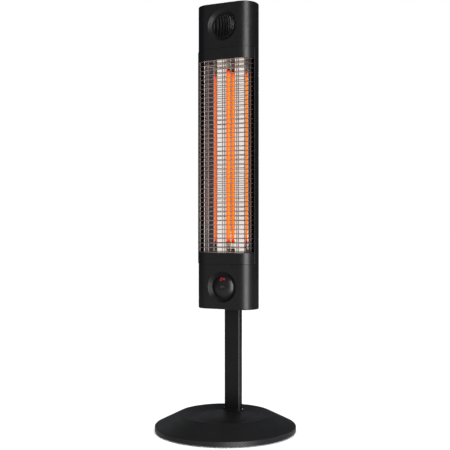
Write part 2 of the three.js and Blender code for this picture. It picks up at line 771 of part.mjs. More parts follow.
function pushSwitch() {
  return block([-3, 3], [-3, 3], [BOARD_FACE + GAP, SWITCH_FACE - 0.8])
    .add(rod(1.7, SWITCH_FACE - 1, SWITCH_FACE, 0, 0, 12));
}

// Two-figure display, above the lens centre.
function digitDisplay() {
  return block([-7.5, 7.5], [12.7, 21.7], [BOARD_FACE + GAP, -13.4]);
}

function remoteReceiver() {
  return block([-2.5, 2.5], [-3.5, 3.5], [BOARD_FACE + GAP, -15])
    .add(rod(2, -15.5, -13, 0, 0, 12))
    .translate([0, -14, 0]);
}

function displayBoard() {
  return rod(LENS_RADIUS, BOARD_FACE - BOARD_THICKNESS, BOARD_FACE, 0, 0, 32);
}

const ventGroup = recessGroup(HEAD_HEIGHT - RECESS_FROM_END);
add(ventGroup, 'vent_insert', ventInsert(), 'plasticBlack');
const panelGroup = recessGroup(RECESS_FROM_END);
add(panelGroup, 'display_lens', displayLens(), 'glossBlack');
add(panelGroup, 'power_button', powerButton(), 'glossBlack');
add(panelGroup, 'display_board', displayBoard(), 'circuitBoard');
add(panelGroup, 'push_switch', pushSwitch(), 'plasticBlack');
add(panelGroup, 'digit_display', digitDisplay(), 'redDigits');
add(panelGroup, 'remote_receiver', remoteReceiver(), 'glossBlack');

// ---------------------------------------------------------------- power electronics

const BOARD_HALF = 46;
const BOARD_LOW = 8;
const BOARD_HIGH = 92;
const BOARD_FRONT = BOARD_Y - GAP; // what the parts on the board stand against

function powerBoard() {
  return block([-BOARD_HALF, BOARD_HALF], [BOARD_Y, BOARD_Y + BOARD_THICKNESS], [BOARD_LOW, BOARD_HIGH]);
}

// Finned block: a back plate with five upright fins.
function heatSink() {
  const firstGap = 36.4;
  const pitch = 4;
  const gapWidth = 2;
  let sink = block([34, 52], [BOARD_FRONT - 13, BOARD_FRONT], [26, 68]);
  for (let i = 0; i < 4; i += 1) {
    const x = firstGap + i * pitch;
    sink = sink.subtract(block([x, x + gapWidth], [BOARD_FRONT - 14, BOARD_FRONT - 3], [25, 69]));
  }
  return sink;
}

const TERMINAL_Z = 84;
const TERMINAL_PITCH = 9;

function terminalBlock() {
  let terminals = block([-14, 14], [BOARD_FRONT - 11, BOARD_FRONT], [TERMINAL_Z - 6, TERMINAL_Z + 6]);
  for (const x of [-TERMINAL_PITCH, 0, TERMINAL_PITCH]) {
    terminals = terminals.subtract(rodAlongY(2.6, BOARD_FRONT - 12, BOARD_FRONT - 5, x, TERMINAL_Z, 8));
  }
  return terminals;
}

add(head, 'power_board', powerBoard(), 'circuitBoard');
add(head, 'heat_sink', heatSink(), 'steel');
add(head, 'power_relay', block([-52, -36], [BOARD_FRONT - 15, BOARD_FRONT], [40, 69]), 'plasticBlack');
add(head, 'triac', block([35, 45], [BOARD_FRONT - 4.5, BOARD_FRONT], [72, 88]), 'plasticBlack');
add(head, 'terminal_block', terminalBlock(), 'ceramic');
add(head, 'tilt_switch', rodAlongY(6, BOARD_FRONT - 14, BOARD_FRONT, -44, 22, 16), 'plasticBlack');

// ---------------------------------------------------------------- inlet and mains switch

function cableGland() {
  return turned([
    [2.8, -9],
    [6, -9],
    [6, GAP],
    [8.5, GAP],
    [8.5, 5],
    [6.6, 12],
    [4.4, 17],
    [3.4, 17],
    [2.8, -9],
  ], 14);
}

const ROCKER_HALF_HEIGHT = 7.2;
const ROCKER_PIVOT_Y = HEAD_REAR + 0.4;

function rockerFrame() {
  const front = HEAD_REAR + GAP;
  return block([-8.5, 8.5], [front, front + 1.8], [-11.2, 11.2])
    .add(block([-6.4, 6.4], [HEAD_REAR - 17, front + 1], [-9.4, 9.4]))
    .subtract(block([-5.3, 5.3], [HEAD_REAR - 9, front + 5], [-8.4, 8.4]))
    .translate([ROCKER_X, 0, ROCKER_Z]);
}

// The paddle's side view is a shallow V about its pivot; at rest its upper half is pressed in.
function mainsRocker() {
  const tip = 4.2;
  const waist = 3.1;
  const outline = polygon([
    [-ROCKER_HALF_HEIGHT, -2.5],
    [ROCKER_HALF_HEIGHT, -2.5],
    [ROCKER_HALF_HEIGHT, tip],
    [0, waist],
    [-ROCKER_HALF_HEIGHT, tip],
  ]);
  return prism(outline, -5, 5);
}

const gland = add(head, 'cable_gland', cableGland(), 'plasticBlack');
gland.position.set(GLAND_X, HEAD_REAR, GLAND_Z);
gland.rotation.x = -Math.PI / 2;
add(head, 'rocker_frame', rockerFrame(), 'plasticBlack');
const rockerPivot = new THREE.Group();
rockerPivot.position.set(ROCKER_X, ROCKER_PIVOT_Y, ROCKER_Z);
rockerPivot.rotation.x = ROCKER_TILT;
head.add(rockerPivot);
const rocker = add(rockerPivot, 'mains_rocker', mainsRocker(), 'glossBlack');
rocker.rotation.y = Math.PI / 2;

// ---------------------------------------------------------------- reflector and lamp

const ENDS_FIT = 0.4;

// Polished trough: a flat back and two bent wings that run forward to the opening's sides.
function reflector() {
  const [bendX, bendY] = REFLECTOR_BEND;
  const rightHalf = [
    [REFLECTOR_FLAT, REFLECTOR_Y],
    [bendX, bendY],
    [REFLECTOR_MOUTH, REFLECTOR_LIP_Y],
    [REFLECTOR_MOUTH + SHEET, REFLECTOR_LIP_Y + SHEET / 2],
    [bendX + SHEET, bendY + SHEET / 2],
    [REFLECTOR_FLAT + SHEET / 2, REFLECTOR_Y + SHEET],
  ];
  const leftHalf = rightHalf.map(([x, y]) => [-x, y]).reverse();
  const outline = polygon([...rightHalf, ...leftHalf]);
  return prism(outline, OPENING_LOW + ENDS_FIT, OPENING_HIGH - ENDS_FIT);
}

const SEAL_LENGTH = 17;
const PLUG_LENGTH = 3;
const STUB_LENGTH = 3;
const HOLDER_THICKNESS = 9;

// Ceramic end of the lamp: a plug inside the quartz tube, a round body beyond it and a short stub.
function lampCap() {
  const plug = 3.6;
  const stub = 1.4;
  return turned([
    [0, -PLUG_LENGTH],
    [plug, -PLUG_LENGTH],
    [plug, 0],
    [CAP_BODY_RADIUS, 0],
    [CAP_BODY_RADIUS, SEAL_LENGTH],
    [stub, SEAL_LENGTH],
    [stub, SEAL_LENGTH + STUB_LENGTH],
    [0, SEAL_LENGTH + STUB_LENGTH],
  ], 16);
}

function lampHolder() {
  const top = OPENING_LOW - 0.2 - SHEET - GAP;
  return block([-13, 13], [LAMP_Y - 9, LAMP_Y + 9], [top - HOLDER_THICKNESS, top])
    .subtract(rod(CAP_BODY_RADIUS + GAP, 0, top + 1, 0, LAMP_Y, 16));
}

function quartzTube() {
  const bore = LAMP_RADIUS - 1.3;
  return turned([
    [bore, LAMP_LOW],
    [LAMP_RADIUS, LAMP_LOW],
    [LAMP_RADIUS, LAMP_HIGH],
    [bore, LAMP_HIGH],
    [bore, LAMP_LOW],
  ], 16);
}

function lampElement() {
  const lead = 0.6;
  const coil = 3.2;
  const reach = PLUG_LENGTH + GAP;
  return turned([
    [0, LAMP_LOW + reach],
    [lead, LAMP_LOW + reach],
    [lead, GLOW_LOW],
    [coil, GLOW_LOW],
    [coil, GLOW_HIGH],
    [lead, GLOW_HIGH],
    [lead, LAMP_HIGH - reach],
    [0, LAMP_HIGH - reach],
  ], 10);
}

add(head, 'reflector', reflector(), 'polished');
const lamp = new THREE.Group();
lamp.position.y = LAMP_Y;
head.add(lamp);
add(lamp, 'lamp_tube', quartzTube(), 'quartz');
add(lamp, 'lamp_element', lampElement(), 'filament');
const lowCap = add(lamp, 'lamp_cap_bottom', lampCap(), 'ceramic');
lowCap.position.z = LAMP_LOW - GAP;
lowCap.rotation.x = Math.PI;
add(lamp, 'lamp_cap_top', lampCap(), 'ceramic').position.z = LAMP_HIGH + GAP;
add(head, 'lamp_holder_bottom', lampHolder(), 'ceramic');
add(head, 'lamp_holder_top', upsideDown(lampHolder()), 'ceramic');

// Insulated leads from each end of the lamp to the terminal block.
function lead(points, steps) {
  const places = points.map((point) => new THREE.Vector3(...point));
  const curve = new THREE.CatmullRomCurve3(places, false, 'centripetal');
  return sweep(curve, LEAD_RADIUS, 6, steps);
}

const lampLowEnd = LAMP_LOW - GAP - SEAL_LENGTH - STUB_LENGTH;
const lampHighEnd = LAMP_HIGH + GAP + SEAL_LENGTH + STUB_LENGTH;

// The last stretch of a lead, down in front of the board and back into its terminal.
function intoTerminal(x) {
  return [
    [x, BOARD_Y - 18, TERMINAL_Z + 7],
    [x, BOARD_Y - 17, TERMINAL_Z + 1],
    [x, BOARD_Y - 13, TERMINAL_Z],
    [x, BOARD_Y - 8, TERMINAL_Z],
  ];
}

add(head, 'lamp_lead_bottom', lead([
  [0, LAMP_Y, lampLowEnd - GAP],
  [0, LAMP_Y, lampLowEnd - 6],
  [4, LAMP_Y - 7, 99],
  ...intoTerminal(TERMINAL_PITCH),
], 18), 'copperLead');
add(head, 'lamp_lead_top', lead([
  [0, LAMP_Y, lampHighEnd + GAP],
  [0, LAMP_Y, lampHighEnd + 8],
  [-8, 26, lampHighEnd + 24],
  [LEAD_X, LEAD_Y, OPENING_HIGH + 24],
  [LEAD_X, LEAD_Y, OPENING_HIGH + 10],
  [LEAD_X, LEAD_Y, OPENING_HIGH - 20],
  [LEAD_X, LEAD_Y, 350],
  [LEAD_X, LEAD_Y, OPENING_LOW + 20],
  [LEAD_X, LEAD_Y, OPENING_LOW - 8],
  [-17, 32, 107],
  [-12, 14, 103],
  ...intoTerminal(-TERMINAL_PITCH),
], 48), 'copperLead');

// ---------------------------------------------------------------- grille

// Point and outward angle at a distance along the curved front, on a line drawn in by an inset.
function grillePoint(distance, inset) {
  const reach = Math.abs(distance) - FRONT_CENTRE_X;
  const side = Math.sign(distance);
  const radius = FRONT_CORNER - inset;
  const angle = Math.max(reach, 0) / (FRONT_CORNER - GRILLE_INSET);
  const x = Math.min(Math.abs(distance), FRONT_CENTRE_X) + radius * Math.sin(angle);
  return { x: side * x, y: FRONT_CENTRE_Y - radius * Math.cos(angle), angle: side * angle };
}

// Half the length of a cross wire, from the middle to just short of the side wall's front edge.
const grilleRadius = FRONT_CORNER - GRILLE_INSET;
const wireEnd = FRONT_CENTRE_X
  + grilleRadius * Math.acos((FRONT_CENTRE_Y - SIDE_EDGE_Y + GAP + WIRE / 2) / grilleRadius);

function crossWire(z) {
  const steps = 3; // chords round each corner
  const stations = [];
  for (let i = 0; i <= steps; i += 1) {
    stations.push(THREE.MathUtils.lerp(FRONT_CENTRE_X, wireEnd, i / steps));
  }
  const whole = [...stations.map((distance) => -distance).reverse(), ...stations];
  const outer = whole.map((distance) => grillePoint(distance, GRILLE_INSET - WIRE / 2));
  const inner = whole.map((distance) => grillePoint(distance, GRILLE_INSET + WIRE / 2)).reverse();
  const outline = polygon([...outer, ...inner].map(({ x, y }) => [x, y]));
  return prism(outline, z - WIRE / 2, z + WIRE / 2);
}

// An upright behind the cross wires, with one edge of its three-sided section bitten into them.
function upright(distance) {
  const { x, y, angle } = grillePoint(distance, GRILLE_INSET + WIRE);
  const section = polygon([[0, -WIRE * 0.7], [WIRE * 0.6, WIRE * 0.5], [-WIRE * 0.6, WIRE * 0.5]]);
  return prism(section, OPENING_LOW + GAP, OPENING_HIGH - GAP)
    .rotate([0, 0, THREE.MathUtils.radToDeg(angle)])
    .translate([x, y, 0]);
}

function grille() {
  const low = OPENING_LOW + GAP + WIRE / 2;
  const high = OPENING_HIGH - GAP - WIRE / 2;
  const wires = [];
  for (let row = 0; row < WIRE_ROWS; row += 1) {
    wires.push(crossWire(THREE.MathUtils.lerp(low, high, row / (WIRE_ROWS - 1))));
  }
  for (let column = -2; column <= 2; column += 1) {
    wires.push(upright(column * UPRIGHT_SPACING));
  }
  return wasm.Manifold.union(wires);
}

add(head, 'grille', grille(), 'wire');

export default heater;
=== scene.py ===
import math

import bmesh
import bpy
from mathutils import Matrix, Vector
from mathutils.geometry import tessellate_polygon


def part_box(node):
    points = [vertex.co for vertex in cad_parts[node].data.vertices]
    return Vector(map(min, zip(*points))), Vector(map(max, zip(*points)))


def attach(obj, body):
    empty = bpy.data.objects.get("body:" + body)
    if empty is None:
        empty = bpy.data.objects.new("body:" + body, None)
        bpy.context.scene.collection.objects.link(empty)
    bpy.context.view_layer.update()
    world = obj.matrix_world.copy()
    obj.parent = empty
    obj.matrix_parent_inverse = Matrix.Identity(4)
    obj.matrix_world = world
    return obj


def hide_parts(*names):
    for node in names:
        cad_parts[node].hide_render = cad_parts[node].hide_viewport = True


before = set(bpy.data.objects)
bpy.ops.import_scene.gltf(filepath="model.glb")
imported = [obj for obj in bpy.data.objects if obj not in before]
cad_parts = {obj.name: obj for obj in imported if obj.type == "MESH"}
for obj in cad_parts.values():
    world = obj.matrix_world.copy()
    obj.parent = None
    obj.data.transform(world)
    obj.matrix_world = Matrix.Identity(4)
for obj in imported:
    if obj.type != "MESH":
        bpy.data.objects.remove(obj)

# Tower patio heater. Lengths are millimetres until a mesh is made; +Z is up and the heater faces -Y.

MM = 0.001
GAP = 0.3
SHORTEST_SIDE = 1e-6
LEAST_BEND = 0.01
MERGE_DISTANCE = 2e-6
SHORTEST_EDGE = 1e-7
scene = bpy.context.scene
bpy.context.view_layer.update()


# ---- camera

VIEW_DIRECTION = Vector((-0.4368, 0.8996, 0.0))
camera_data = bpy.data.cameras.new("camera")
camera_data.sensor_width = 36
camera_data.lens = 67.57
camera_data.shift_y = 0.0111
camera_data.clip_end = 400
camera = bpy.data.objects.new("camera", camera_data)
camera.location = (0.8382, -1.7284, 0.4555)
camera.rotation_euler = VIEW_DIRECTION.to_track_quat("-Z", "Y").to_euler()
scene.collection.objects.link(camera)
scene.camera = camera


# ---- sizes taken from the frame

def box_mm(node):
    low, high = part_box(node)
    return low / MM, high / MM


base_low, base_high = box_mm("base_cover")
column_low, column_high = box_mm("column_tube")
bottom_cap_low, bottom_cap_high = box_mm("bottom_cap")
top_cap_low, top_cap_high = box_mm("top_cap")
housing_low, housing_high = box_mm("rear_housing")
bottom_band_low, bottom_band_high = box_mm("bottom_band")
top_band_low, top_band_high = box_mm("top_band")
reflector_low, reflector_high = box_mm("reflector")
tube_low, tube_high = box_mm("lamp_tube")

BASE_RADIUS = base_high.x
BASE_UNDERSIDE = base_low.z
PAD_TOP = 39.6
COLUMN_WIDTH = column_high.x - column_low.x
COLUMN_DEPTH = column_high.y - column_low.y
COLUMN_CORNER = 4.5
COLUMN_Y = (column_low.y + column_high.y) / 2
HEAD_BOTTOM = bottom_cap_low.z
HEAD_TOP = top_cap_high.z
HALF_WIDTH = bottom_cap_high.x
HEAD_FRONT = bottom_cap_low.y
HEAD_REAR = 56.8
FRONT_CORNER = 32.3
REAR_CORNER = 40.0
HEAD_WALL = 2.4
SEAM_LOW = bottom_cap_high.z
SEAM_HIGH = top_cap_low.z
OPENING_LOW = bottom_band_high.z
OPENING_HIGH = top_band_low.z
SIDE_EDGE_Y = 2.9
RECESS_FROM_END = 50.6
RECESS_OUTER = 35.2
RECESS_BORE = 28.3
RECESS_DEPTH = 8.0
LENS_RADIUS = 26.2
BUTTON_RADIUS = 6.0
LAMP_Y = (tube_low.y + tube_high.y) / 2
LAMP_RADIUS = tube_high.x
FRONT_CENTRE_X = HALF_WIDTH - FRONT_CORNER
FRONT_CENTRE_Y = HEAD_FRONT + FRONT_CORNER


# ---- shape helpers
# A part is (points, faces). Pieces are made of one or more parts.

def frame_front(x, z, y=HEAD_FRONT):
    """Local +Z points out of the head's front."""
    return Matrix.Translation((x, y, z)) @ Matrix.Rotation(math.pi / 2, 4, "X")


def frame_rear(x, z, y=HEAD_REAR):
    """Local +Z points out of the head's back."""
    return Matrix.Translation((x, y, z)) @ Matrix.Rotation(-math.pi / 2, 4, "X")


def moved(part, matrix):
    points, faces = part
    return [matrix @ Vector(p) for p in points], faces


def loft(rings, closed=True, first=False, last=False):
    count = len(rings[0])
    points = [Vector(p) for ring in rings for p in ring]
    faces = []
    for r in range(len(rings) - 1):
        for i in range(count if closed else count - 1):
            a = r * count + i
            b = r * count + (i + 1) % count
            faces.append((a, b, b + count, a + count))
    if first:
        faces.append(tuple(reversed(range(count))))
    if last:
        faces.append(tuple(range(len(points) - count, len(points))))
    return points, faces


def sweep(start, end, steps):
    """Evenly spaced values from start to end, both included."""
    return [start + (end - start) * step / steps for step in range(steps + 1)]


def polar(radius, angle):
    return radius * math.cos(angle), radius * math.sin(angle)


def arc(x, y, radius, start, end, steps):
    """Points round (x, y) from one angle to another."""
    return [(x + radius * math.cos(angle), y + radius * math.sin(angle))
            for angle in sweep(start, end, steps)]


def circle(radius, count):
    return [polar(radius, 2 * math.pi * i / count) for i in range(count)]


def at_height(outline, z):
    return [(x, y, z) for x, y in outline]


def mirrored(outline):
    """The outline on the other side of x = 0, in the order that carries on from it."""
    return [(-x, y) for x, y in reversed(outline)]


def stacked(levels):
    """A loft through (outline, height) pairs."""
    return loft([at_height(outline, z) for outline, z in levels])


def turned(profile, segments):
    """A profile of (radius, height) points turned about local Z."""
    return stacked([(circle(radius, segments), height) for radius, height in profile])


def filleted(points, radii, steps):
    """A flat polyline whose inner corners are rounded, with one radius for each point."""
    made = [Vector(points[0])]
    for i in range(1, len(points) - 1):
        corner = Vector(points[i])
        back = Vector(points[i - 1]) - corner
        ahead = Vector(points[i + 1]) - corner
        kept = radii[i] <= 0 or min(back.length, ahead.length) < SHORTEST_SIDE
        opening = 0.0 if kept else back.angle(ahead)
        if kept or not LEAST_BEND < opening < math.pi - LEAST_BEND:
            made.append(corner)
            continue
        reach = min(radii[i] / math.tan(opening / 2), back.length * 0.49, ahead.length * 0.49)
        radius = reach * math.tan(opening / 2)
        start = corner + back.normalized() * reach
        end = corner + ahead.normalized() * reach
        inward = (back.normalized() + ahead.normalized()).normalized()
        centre = corner + inward * radius / math.sin(opening / 2)
        for share in sweep(0, 1, steps):
            spoke = (start - centre).lerp(end - centre, share)
            made.append(centre + spoke.normalized() * radius)
    made.append(Vector(points[-1]))
    return made


def rounded_rectangle(width, depth, radius, x=0.0, y=0.0, steps=6):
    points = []
    for corner, (side_x, side_y) in enumerate(((1, -1), (1, 1), (-1, 1), (-1, -1))):
        centre_x = x + (width / 2 - radius) * side_x
        centre_y = y + (depth / 2 - radius) * side_y
        start = math.pi / 2 * (corner - 1)
        points += arc(centre_x, centre_y, radius, start, start + math.pi / 2, steps)
    return points


def grown(outline, amount):
    """A closed counter-clockwise outline moved outward by an amount."""
    count = len(outline)
    made = []
    for i in range(count):
        before = Vector(outline[i - 1])
        here = Vector(outline[i])
        after = Vector(outline[(i + 1) % count])
        along = (after - before).normalized()
        made.append((here.x + along.y * amount, here.y - along.x * amount))
    return made


def rounding(edge, steps):
    """(inset, height) pairs of a quarter-round edge, from its foot up."""
    return [(edge * (1 - math.sin(angle)), edge * (1 - math.cos(angle)))
            for angle in sweep(0, math.pi / 2, steps)]


def slab(outline, z0, z1, edge=0.4, steps=2):
    """A closed outline raised from z0 to z1, its long edges rounded."""
    levels = rounding(edge, steps)
    rings = [at_height(grown(outline, -inset), z0 + lift) for inset, lift in levels]
    rings += [at_height(grown(outline, -inset), z1 - lift) for inset, lift in reversed(levels)]
    return loft(rings, first=True, last=True)


def wire(path, radius, sides, up=Vector((0, 0, 1))):
    """A round wire along a path, with domed ends."""
    path = [Vector(p) for p in path]
    rings = []
    last = len(path) - 1
    for i, point in enumerate(path):
        along = (path[min(i + 1, last)] - path[max(i - 1, 0)]).normalized()
        across = along.cross(up).normalized()
        above = across.cross(along).normalized()
        ring = [point + across * x + above * y for x, y in circle(radius, sides)]
        if i in (0, last):
            end = along * (-radius * 0.5 if i == 0 else radius * 0.5)
            small = [point + (p - point) * 0.6 + end for p in ring]
            rings.extend([small, ring] if i == 0 else [ring, small])
        else:
            rings.append(ring)
    return loft(rings, first=True, last=True)


def fill_with_hole(outer, hole):
    """Flat faces between an outer loop and a hole, both lists of 3-D points."""
    loops = [[Vector(p) for p in loop] for loop in (outer, hole)]
    return loops[0] + loops[1], [tuple(face) for face in tessellate_polygon(loops)]


def piece(name, parts, material, body="root", replaces=(), sharp=34, weighted=True, at=None):
    """Joins parts into one object, placed by the matrix at when there is one."""
    vertices = []
    faces = []
    for part in parts:
        points, polygons = moved(part, at) if at else part
        start = len(vertices)
        vertices.extend(Vector(p) * MM for p in points)
        faces.extend([start + index for index in polygon] for polygon in polygons)
    mesh = bpy.data.meshes.new(name)
    mesh.from_pydata(vertices, [], faces)
    work = bmesh.new()
    work.from_mesh(mesh)
    bmesh.ops.remove_doubles(work, verts=work.verts, dist=MERGE_DISTANCE)
    bmesh.ops.dissolve_degenerate(work, edges=work.edges, dist=SHORTEST_EDGE)
    bmesh.ops.recalc_face_normals(work, faces=work.faces)
    work.to_mesh(mesh)
    work.free()
    mesh.shade_smooth()
    mesh.set_sharp_from_angle(angle=math.radians(sharp))
    made = bpy.data.objects.new(name, mesh)
    scene.collection.objects.link(made)
    mesh.materials.append(material)
    if weighted:
        weights = made.modifiers.new("weighted_normals", "WEIGHTED_NORMAL")
        weights.keep_sharp = True
        weights.weight = 80
    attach(made, body)
    if replaces:
        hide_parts(*replaces)


# ---- materials

class Finish:
    """A Principled material whose colour, roughness and relief come from patterns in object space."""

    def __init__(self, name, color, roughness, metallic=0.0, specular=0.5):
        self.material = bpy.data.materials.new(name)
        self.material.use_nodes = True
        self.tree = self.material.node_tree
        self.shader = self.tree.nodes["Principled BSDF"]
        self.color = color
        self.roughness = roughness
        self.set("Base Color", (*color, 1))
        self.set("Roughness", roughness)
        self.set("Metallic", metallic)
        self.set("Specular IOR Level", specular)
        self.place = self.tree.nodes.new("ShaderNodeTexCoord").outputs["Object"]

    def set(self, socket, value):
        self.shader.inputs[socket].default_value = value

    def drive(self, socket, source):
        self.tree.links.new(source, self.shader.inputs[socket])

    def node(self, kind, sources, values=None):
        """A new node, with its linked inputs and its set inputs by socket."""
        made = self.tree.nodes.new(kind)
        for socket, source in sources.items():
            self.tree.links.new(source, made.inputs[socket])
        for socket, value in (values or {}).items():
            made.inputs[socket].default_value = value
        return made

    def noise(self, scale, stretch=(1, 1, 1), detail=3.0):
        mapping = self.node("ShaderNodeMapping", {"Vector": self.place}, {"Scale": stretch})
        values = {"Scale": scale, "Detail": detail, "Roughness": 0.55}
        return self.node("ShaderNodeTexNoise", {"Vector": mapping.outputs["Vector"]}, values).outputs["Fac"]

    def cells(self, scale):
        return self.node("ShaderNodeTexVoronoi", {"Vector": self.place}, {"Scale": scale}).outputs["Distance"]

    def stripes(self, scale):
        """Slightly uneven bands, one above another."""
        node = self.node("ShaderNodeTexWave", {"Vector": self.place}, {"Scale": scale, "Distortion": 0.6})
        node.bands_direction = "Z"
        return node.outputs["Fac"]

    def remap(self, value, low, high, start=0.3, end=0.7):
        values = {"From Min": start, "From Max": end, "To Min": low, "To Max": high}
        return self.node("ShaderNodeMapRange", {"Value": value}, values).outputs["Result"]

    def axis(self, name):
        return self.node("ShaderNodeSeparateXYZ", {"Vector": self.place}).outputs[name]

    def product(self, first, second, operation="MULTIPLY"):
        node = self.node("ShaderNodeMath", {0: first, 1: second})
        node.operation = operation
        return node.outputs["Value"]

    def between(self, low, high, fade):
        """1 between two heights in millimetres, falling to 0 at both."""
        height = self.axis("Z")
        above = self.remap(height, 0.0, 1.0, low * MM, (low + fade) * MM)
        below = self.remap(height, 0.0, 1.0, high * MM, (high - fade) * MM)
        return self.product(above, below, "MINIMUM")

    def ramp(self, value, first, last, start=0.0, end=1.0):
        node = self.node("ShaderNodeValToRGB", {"Fac": value})
        for element, position, color in zip(node.color_ramp.elements, (start, end), (first, last)):
            element.position = position
            element.color = (*color, 1)
        return node.outputs["Color"]

    def blend(self, share, first, second):
        node = self.tree.nodes.new("ShaderNodeMix")
        node.data_type = "RGBA"
        for socket, source in ((0, share), (6, first), (7, second)):
            self.tree.links.new(source, node.inputs[socket])
        return node.outputs[2]

    def vary_roughness(self, value, spread):
        self.drive("Roughness", self.remap(value, self.roughness - spread, self.roughness + spread))

    def vary_color(self, value, other, start=0.3, end=0.7):
        self.drive("Base Color", self.ramp(value, self.color, other, start, end))

    def relief(self, value, strength, distance):
        """A bump laid over any relief that is there already."""
        sources = {"Height": value}
        if self.shader.inputs["Normal"].is_linked:
            sources["Normal"] = self.shader.inputs["Normal"].links[0].from_socket
        node = self.node("ShaderNodeBump", sources, {"Strength": strength, "Distance": distance})
        self.drive("Normal", node.outputs["Normal"])


def powder_coat(name, color, other, roughness, specular, grain=900, depth=0.00006):
    finish = Finish(name, color, roughness, 0.0, specular)
    finish.vary_color(finish.noise(26, detail=4), other)
    finish.vary_roughness(finish.noise(60, detail=4), 0.04)
    finish.relief(finish.noise(grain, detail=2), 0.25, depth)
    finish.relief(finish.noise(grain / 4, detail=1), 0.12, depth)
    return finish.material


def drawn_metal(name, color, other, roughness, spread, stretch, scale=500, strength=0.12):
    finish = Finish(name, color, roughness, 1.0)
    finish.vary_color(finish.noise(18, stretch, 4), other)
    finish.vary_roughness(finish.noise(scale / 4, stretch, 4), spread)
    finish.relief(finish.noise(scale, stretch, 2), strength, 0.00003)
    return finish.material


def moulded(name, color, other, roughness, specular=0.5, grain=1400):
    finish = Finish(name, color, roughness, 0.0, specular)
    finish.vary_color(finish.noise(40, detail=3), other)
    finish.vary_roughness(finish.noise(90, detail=3), 0.05)
    finish.relief(finish.cells(grain), 0.12, 0.00005)
    return finish.material


cap_paint = powder_coat("cap_paint", (0.005, 0.005, 0.0054), (0.0065, 0.0065, 0.0069), 0.38, 0.34)
band_paint = powder_coat("band_paint", (0.0055, 0.0055, 0.0059), (0.007, 0.007, 0.0075), 0.36, 0.34)
housing_paint = powder_coat("housing_paint", (0.004, 0.004, 0.0043), (0.0055, 0.0055, 0.0059), 0.42, 0.3)
base_paint = powder_coat(
    "base_paint", (0.007, 0.007, 0.0074), (0.010, 0.010, 0.0106), 0.42, 0.26, 700, 0.00009)
column_paint = powder_coat("column_paint", (0.002, 0.002, 0.0022), (0.003, 0.003, 0.0032), 0.42, 0.3)
bracket_black = powder_coat("bracket_black", (0.005, 0.005, 0.0055), (0.008, 0.008, 0.0085), 0.5, 0.3, 1200)
polished = drawn_metal(
    "polished_metal", (0.85, 0.80, 0.77), (0.91, 0.86, 0.83), 0.05, 0.012, (1, 1, 0.02), 900, 0.002)
grille_wire = drawn_metal("grille_wire", (0.56, 0.45, 0.42), (0.45, 0.35, 0.32), 0.3, 0.06, (1, 1, 1), 300)
steel = drawn_metal("steel", (0.55, 0.55, 0.56), (0.40, 0.40, 0.41), 0.33, 0.08, (1, 1, 1), 700)
lead_wire = drawn_metal("lead_wire", (0.13, 0.11, 0.10), (0.08, 0.07, 0.065), 0.5, 0.08, (1, 1, 1), 400)
cast_iron = powder_coat("cast_iron", (0.035, 0.033, 0.032), (0.06, 0.052, 0.046), 0.75, 0.4, 260, 0.0004)
rubber = moulded("rubber", (0.012, 0.012, 0.012), (0.022, 0.021, 0.02), 0.82, 0.3, 900)
matte_black = moulded("matte_black", (0.005, 0.005, 0.0054), (0.007, 0.007, 0.0074), 0.36, 0.45)
vent_black = moulded("vent_black", (0.005, 0.005, 0.0053), (0.008, 0.008, 0.0084), 0.42, 0.4)
rear_black = moulded("rear_black", (0.014, 0.014, 0.0145), (0.02, 0.02, 0.0205), 0.5, 0.4)
gloss_black = moulded("gloss_black", (0.005, 0.005, 0.0055), (0.008, 0.008, 0.0087), 0.35, 0.36, 300)
circuit_board = moulded("circuit_board", (0.012, 0.10, 0.035), (0.02, 0.16, 0.05), 0.45, 0.5, 500)
ceramic = moulded("ceramic", (0.66, 0.57, 0.47), (0.76, 0.68, 0.58), 0.55, 0.4, 700)
heat_sink_metal = drawn_metal(
    "heat_sink_metal", (0.35, 0.35, 0.37), (0.5, 0.5, 0.52), 0.42, 0.08, (1, 1, 0.05))
# Near-black for the disc behind the vent, which is painted shade standing in for the dark inside of the head.
painted_shade_black = moulded("painted_shade_black", (0.002, 0.002, 0.002), (0.004, 0.004, 0.004), 0.8, 0.1)


def sleeve_finish():
    finish = Finish("lead_sleeve", (0.62, 0.58, 0.5), 0.7, 0.0, 0.3)
    finish.vary_color(finish.stripes(420), (0.75, 0.72, 0.66))
    finish.relief(finish.cells(1600), 0.4, 0.0002)
    return finish.material


lead_sleeve = sleeve_finish()


def upright_finish():
    """Drawn wire in a brighter copy of the grille wire's colour, a painted highlight, with painted shade
    darkening it toward the right of the opening.
    """
    finish = Finish("lit_upright_wire", (0.98, 0.87, 0.84), 0.5, 1.0)
    # Painted shade: the colour darkens toward the right of the opening, mottled a little by noise.
    shade_toward_right = finish.remap(finish.axis("X"), 0.0, 1.0, 0.015, 0.065)
    mottled_shade = finish.product(shade_toward_right, finish.remap(finish.noise(18, detail=4), 0.85, 1.0))
    finish.vary_color(mottled_shade, (0.2, 0.14, 0.12), 0.0, 1.0)
    finish.vary_roughness(finish.noise(75, detail=4), 0.06)
    finish.relief(finish.noise(300, detail=2), 0.12, 0.00003)
    return finish.material


lit_upright_wire = upright_finish()


def quartz_finish():
    finish = Finish("quartz", (1.0, 0.985, 0.97), 0.015)
    finish.set("Transmission Weight", 1.0)
    finish.set("IOR", 1.46)
    finish.set("Specular Tint", (0.12, 0.07, 0.05, 1))
    finish.relief(finish.noise(70, (1, 1, 0.15), 2), 0.02, 0.0001)
    # Over the glowing length the glass is tinted clearer and warmer, and its faint orange emission is a
    # painted glow of the filament's light.
    glow = finish.between(GLOW_LOW, GLOW_HIGH, 6)
    finish.drive("Base Color", finish.ramp(glow, (0.74, 0.69, 0.66), (1.0, 0.9, 0.8)))
    finish.drive("Emission Color", finish.ramp(glow, (0, 0, 0), (1.0, 0.13, 0.0)))
    finish.set("Emission Strength", 0.05)
    return finish.material


